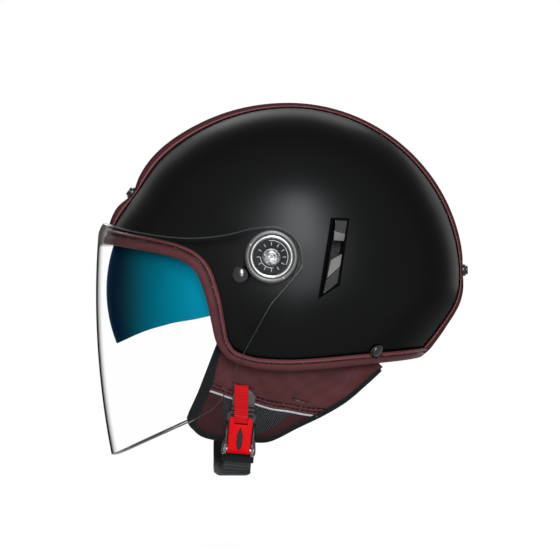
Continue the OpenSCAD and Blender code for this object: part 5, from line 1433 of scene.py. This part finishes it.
# Bright steel on the rounded edges low on the buckle only: worn bare steel, and painted glints along those
# edges.
glinting_worn_steel, start = new_finish("glinting_worn_steel", {"Metallic": 1.0})
worn_and_glinting = (parts(place(start))[2] < -0.2175) * (cloud(start, 300) > 0.42)
coat(tint(worn_and_glinting, (0.012, 0.0125, 0.013), (0.42, 0.42, 0.42)), 0.25 + 0.2 * cloud(start, 700))


def hung(name, solid, finish, body, slot, *nodes, crease=40):
    """A piece of the buckle, made upright and then turned to the slant at which the buckle hangs."""
    return piece(name, hang(solid[0]), solid[1], finish, body, slot, *nodes, crease=crease)


def cut_sheet(outline, lay, low, high):
    """A sheet with a cut outline: the outline's points, laid in space by lay, at two heights; the two faces
    are fans from the middle, joined by a wall."""
    middle = outline.mean(0)[None]
    n = len(outline)
    ring = np.arange(n)
    return (np.concatenate([lay(outline, low), lay(outline, high), lay(middle, low), lay(middle, high)]),
            grid_quads(2, n, loop=True) + fan(ring, 2 * n) + fan(ring + n, 2 * n + 1))


def upright(outline, x):
    """An outline of [out from the head, height] in a plane across X at x."""
    return np.stack([np.full(len(outline), x), -outline[:, 0], outline[:, 1]], -1)


def facing(outline, out):
    """An outline of [across, height] in a plane at a distance out from the head."""
    return np.stack([BUCKLE_X + outline[:, 0], np.full(len(outline), -out), outline[:, 1]], -1)


sheets = [cut_sheet(PLATE, facing, BASE_IN, BASE_IN + BASE_SHEET)]
for s in (1, -1):
    sheets.append(cut_sheet(WALL, upright, BUCKLE_X + s * (BASE_W / 2 - BASE_SHEET),
                            BUCKLE_X + s * BASE_W / 2))
    sheets.append(cut_sheet(FLANGE * [s, 1], facing, FLANGE_IN, FLANGE_OUT))
base = hung("buckle_channel", gather(sheets), black_steel, "helmet", "buckle_steel", "buckle_base", crease=25)
base.data.materials.append(glinting_worn_steel)
ease_edges(base, 0.00028, 40, 1)

# Hinge pin and its spring: a polished steel pin, headed over at both ends, and a coil of spring wire round
# it between the lever's knuckles, which pushes the lever shut.
PIN_AT = np.array([BUCKLE_X, -101.3, -134.3])
PIN = [[0.4, -11.8], [1.5, -11.75], [1.95, -11.45], [2.0, -11.1], [2.0, 11.1], [1.95, 11.45], [1.5, 11.75],
       [0.4, 11.8]]
COIL_R, COIL_LONG, COIL_TURNS, WIRE_R = 2.3, 5.0, 4, 0.24
hung("hinge_pin", tube(lathe(PIN, PIN_AT, [1, 0, 0])), bright_steel, "helmet", "buckle_steel", "buckle_pin")
f = np.linspace(0, 1, 161)
coil_turn = f * COIL_TURNS * 2 * np.pi
coil = PIN_AT + np.stack([COIL_LONG * (f - 0.5), COIL_R * np.cos(coil_turn), COIL_R * np.sin(coil_turn)], -1)
inward = unit((PIN_AT - coil) * [0, 1, 1])
a = circle(8)[None, :, None]
rings = coil[:, None] + WIRE_R * (np.cos(a) * inward[:, None] + np.sin(a) * np.cross(
    unit(np.gradient(coil, axis=0)), inward)[:, None])
hung("lever_spring", tube(rings), bright_steel, "helmet", "buckle_steel", "buckle_spring", crease=60)

# Buckle lever: red gloss moulding that turns on the pin, with two ears for the pull tab, a hollow between
# them and a shallow curve along its lower edge. Shut, it holds the tongue in the channel.
LEVER_W, LEVER_MIDDLE, EAR_RISE = 17.6, np.array([101.4, -126.0]), 5.0
LEVER_SIDE = np.array([[98.4, -114.6], [98.4, -120.0], [98.4, -127.0], [98.35, -131.8], [98.2, -134.3],
                       [98.9, -136.4], [100.2, -137.3], [101.6, -137.5], [103.0, -137.0], [104.0, -135.9],
                       [104.45, -134.3], [104.5, -130.0], [104.55, -124.0], [104.5, -118.5], [104.3, -115.4],
                       [103.8, -114.6], [102.0, -114.4], [100.0, -114.4]])
LEVER_ACROSS = np.array([0.15, 0.35, 0.5, 0.575, 0.605, 0.64, 0.7, 0.8, 0.88, 0.93, 0.97, 0.992, 1])
LEVER_DRAW = ([0, 0.93, 0.97, 0.992, 1], [0, 0, 0.12, 0.35, 0.75])
lever_red, start = new_finish("lever_red", {"Specular IOR Level": 0.02})
coat(tint(cloud(start, 140), (0.345, 0.0012, 0.0030), (0.42, 0.0020, 0.0042)),
     0.30 + 0.12 * cloud(start, 420), bump(cloud(start, 3200, 2), 0.000012))
across = np.concatenate([-LEVER_ACROSS[::-1], [0], LEVER_ACROSS])[:, None]
side = through(np.concatenate([LEVER_SIDE[-1:], LEVER_SIDE, LEVER_SIDE[:2]]),
               1 + np.arange(0, len(LEVER_SIDE), 0.34))
draw = np.interp(np.abs(across), *LEVER_DRAW)[..., None]
out, up = np.moveaxis(side - draw * unit(side - LEVER_MIDDLE), -1, 0)
up = up + 0.45 * (1 - across ** 2) * smooth_step((-129 - up) / 7)
out = out - 0.25 * across ** 2 * (out > 103)
ear = smooth_step((np.abs(across) - 0.565) / 0.06) - 0.12 * smooth_step((np.abs(across) - 0.9) / 0.1)
up = up + EAR_RISE * ear * smooth_step((up + 118.6) / 3.6)
rings = np.stack([np.broadcast_to(BUCKLE_X + across * LEVER_W / 2, up.shape), -out, up], -1)
lever = hung("red_lever", tube(rings), lever_red, "buckle_lever", "lever_red", "buckle_lever", crease=50)
for radius, half in ((2.08, 12.0), (2.7, 4.0)):
    points, faces = tube(lathe([[radius, -half], [radius, half]], PIN_AT, [1, 0, 0], 32))
    cut_out(lever, hang(points), faces)
ease_edges(lever, 0.0004, 60)

# Lever grip: a plain spindle of black rubber, pinched in the middle and lightly grained. It is moulded
# into a recess of the lever's face and stands just proud of it.
GRIP_TOP, GRIP_FOOT, GRIP_BACK, GRIP_OUT, GRIP_RISE = -116.6, -134.6, 103.9, 104.45, 0.42
GRIP_HALF = np.array([[0, 0.12], [0.06, 0.6], [0.15, 1.2], [0.28, 2.05], [0.4, 2.6], [0.455, 2.7],
                      [0.49, 2.5], [0.52, 2.08], [0.55, 2.02], [0.6, 2.35], [0.645, 2.6], [0.72, 2.45],
                      [0.82, 2.0], [0.92, 1.3], [0.975, 0.75], [1, 0.12]])
grip_rubber = moulded("grip_rubber", (0.0015, 0.0016, 0.0018), (0.006, 0.0063, 0.0068), 0.62)
f, t = np.linspace(0, 1, 90)[:, None], np.linspace(-1, 1, 13)[None]
grain = 0.07 * np.sin(f * 95 + 3 * t) * np.sin(t * 9 + f * 31)
rise = GRIP_RISE * np.sqrt(np.clip(1 - t ** 6, 0, 1)) + grain * (1 - t ** 2)
grip_face = np.stack([BUCKLE_X + t * np.interp(f, *GRIP_HALF.T), -(GRIP_OUT + rise),
                      blend(GRIP_TOP, GRIP_FOOT, f) + 0 * t], -1)
hung("grip_inset", slab(grip_face, grip_face * [1, 0, 1] + [0, -GRIP_BACK, 0]), grip_rubber, "buckle_lever",
     "moulded_black", "lever_grip", crease=50)

# Pull tab: a folded loop of red ribbed nylon webbing to lift the lever by. It goes round the lever's ears
# and is sewn through just above them with a row of red tacking.
TAB_W, TAB_LOW, TAB_HIGH, TAB_T, TAB_OUT, TAB_SEWN, TAB_RIB = 10.9, -113.6, -84.2, 2.5, 100.45, 5.2, 1.75
red_webbing = webbing_cloth("red_webbing", (0.22, 0.0030, 0.005), (0.46, 0.0085, 0.012), TAB_RIB, 0.12)
red_thread = thread("red_thread", (0.42, 0.012, 0.016), (0.85, 0.11, 0.11))
z = blend(TAB_LOW, TAB_HIGH, np.linspace(0, 1, 150)[:, None])
wide, deep = oblong(40, 0.25, 0.55)
fold = np.sqrt(np.clip(1 - (np.clip(z - (TAB_HIGH - 1.3), 0, None) / 1.32) ** 2, 0.02, 1))
ribs = 0.16 * np.cos(2 * np.pi * z / TAB_RIB) * smooth_step((TAB_HIGH - 4.5 - z) / 2) * smooth_step(
    (z - TAB_LOW - 5) / 2)
deep = (TAB_T / 2 * fold + ribs - 0.45 * bell(z - TAB_LOW - TAB_SEWN, 0.7)) * deep
wide = (TAB_W / 2 - 0.35 * (1 - fold) + 0.3 * smooth_step((TAB_LOW + 7 - z) / 5)) * wide
lean = TAB_OUT - 0.8 * (z - TAB_LOW) / 26
rings = np.stack([BUCKLE_X + wide - 0.07 * (z - TAB_LOW), -(lean + deep), z + 0 * wide], -1)
tab = hung("red_pull_tab", tube(rings), red_webbing, "buckle_lever", "webbing_red", "pull_tab", crease=60)
lay_weave(tab, np.stack([wide, z + 0 * wide, 0 * wide], -1))
f = np.linspace(0, 1, 60)
tack_line = np.stack([BUCKLE_X + blend(-4.4, 4.4, f), np.full(60, -(TAB_OUT + TAB_T / 2 - 0.35)),
                      TAB_LOW + TAB_SEWN + 0.55 * np.sin(f * 8 * np.pi)], -1)
hung("tab_sewing", stitches(tack_line, sideways, 1.1, 0.28, 1.25), red_thread, "buckle_lever", "webbing_red")

# Ratchet tongue: a dark grey glass-filled moulding with a bevelled tip and a ladder of sloped teeth. It
# slides up between the buckle's base and lever, and the long strap is moulded into its tail.
TONGUE_HALF, TONGUE_IN, TIP_Z, STEP_Z, FOOT_Z, TAIL_TOP = 8.8, 94.85, -87.6, -98.6, -139.6, -133.5
TOOTH, TOOTH_LOW, TOOTH_RISE, TIP_BEVEL, TIP_DRAWN = 3.2, 1.5, 0.95, 4.6, 3.9
TIP_THICK, TIP_THINNED, TAIL_THICK = 1.75, 0.75, 2.3
tongue_grey, start = new_finish("tongue_grey", {"Specular IOR Level": 0.15})
grain = start.node("TexNoise", {}, {"Vector": start.node("Mapping", {}, {
    "Vector": place(start), "Scale": (6.0, 1.0, 1.0)}), "Scale": 420.0, "Detail": 4.0})
x, _, z = parts(place(start))
upward = np.sin(BUCKLE_SLANT) * (1000 * x - HANG_X) + np.cos(BUCKLE_SLANT) * (
    1000 * z - 1000 * ORIGIN[2] - BUCKLE_TOP)
teeth = (STEP_Z - BUCKLE_TOP - upward) / TOOTH
# The hollows between the teeth are painted near black: painted shade in them.
hollow_shade = (teeth.maths("FRACT", teeth) > 0.6) * (teeth > 0)
coat(tint((0.4 + 0.6 * grain) * (1 - hollow_shade), (0.003, 0.0032, 0.0033), (0.048, 0.0505, 0.051)),
     0.42 + 0.16 * cloud(start, 600), bump(grain, 0.00004))
z = np.concatenate([np.linspace(TIP_Z, STEP_Z, 60), np.linspace(STEP_Z - 0.05, FOOT_Z, 300)])[:, None]
half = (TONGUE_HALF - TIP_DRAWN * np.clip((z - (TIP_Z - TIP_BEVEL)) / TIP_BEVEL, 0, 1)
        - 0.4 * np.clip((z - TIP_Z + 0.5) / 0.5, 0, 1))
tooth_at = np.mod(STEP_Z - z, TOOTH) / TOOTH
height = np.where(z > STEP_Z, TIP_THICK - TIP_THINNED * smooth_step((z - TIP_Z + 3) / 3),
                  TOOTH_LOW + TOOTH_RISE * np.clip(1 - tooth_at / 0.82, 0, 1)
                  + TOOTH_RISE * smooth_step((tooth_at - 0.86) / 0.14))
height = np.where(z < TAIL_TOP, TAIL_THICK, height)
x = signed_power(np.linspace(-1, 1, 21), 0.6)[None]
height = height - 0.25 * np.clip((np.abs(x) - 0.94) / 0.06, 0, 1)
aside = 0.6 * smooth_step((z + 112) / 12)
top = np.stack([BUCKLE_X + aside + half * x, -(TONGUE_IN + height), z + 0 * x], -1)
hung("ladder_tongue", slab(top, top * [1, 0, 1] + [0, -TONGUE_IN, 0]), tongue_grey, "tongue", "moulded_black",
     "ratchet_tongue", crease=30)

# Strap keeper: a sleeve of smooth black tape round the end of the webbing, with both hems turned in. It
# is sewn to the webbing just below the tongue.
KEEP_TOP, KEEP_LOW, KEEP_OUT, KEEP_IN = -137.6, -143.6, (12.2, 2.6), (10.75, 1.15)
keeper_tape = knit("keeper_tape", (0.003, 0.0032, 0.0034), (0.011, 0.0116, 0.0124), 2600)
z = np.linspace(KEEP_TOP, KEEP_LOW, 24)[:, None]
wide, deep = oblong(48, 0.22, 0.6)
hem = 1 - 0.16 * bell(z - KEEP_TOP, 0.5) - 0.16 * bell(z - KEEP_LOW, 0.5)
wavy = z + 0.25 * np.sin(2 * circle(48))
outer, inner = [np.stack([BUCKLE_X + w * wide * (0.985 + 0.015 * h), -(STRAP_Y + d * deep * h), wavy], -1)
                for (w, d), h in ((KEEP_OUT, hem), (KEEP_IN, np.ones_like(hem)))]
hung("keeper_sleeve", tube(np.concatenate([outer, inner[::-1]]), loop=True), keeper_tape, "tongue",
     "moulded_black", "strap_keeper", crease=50)

size = {"cad": [list(v) for v in cad_box], "visual": [list(v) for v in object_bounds()]}
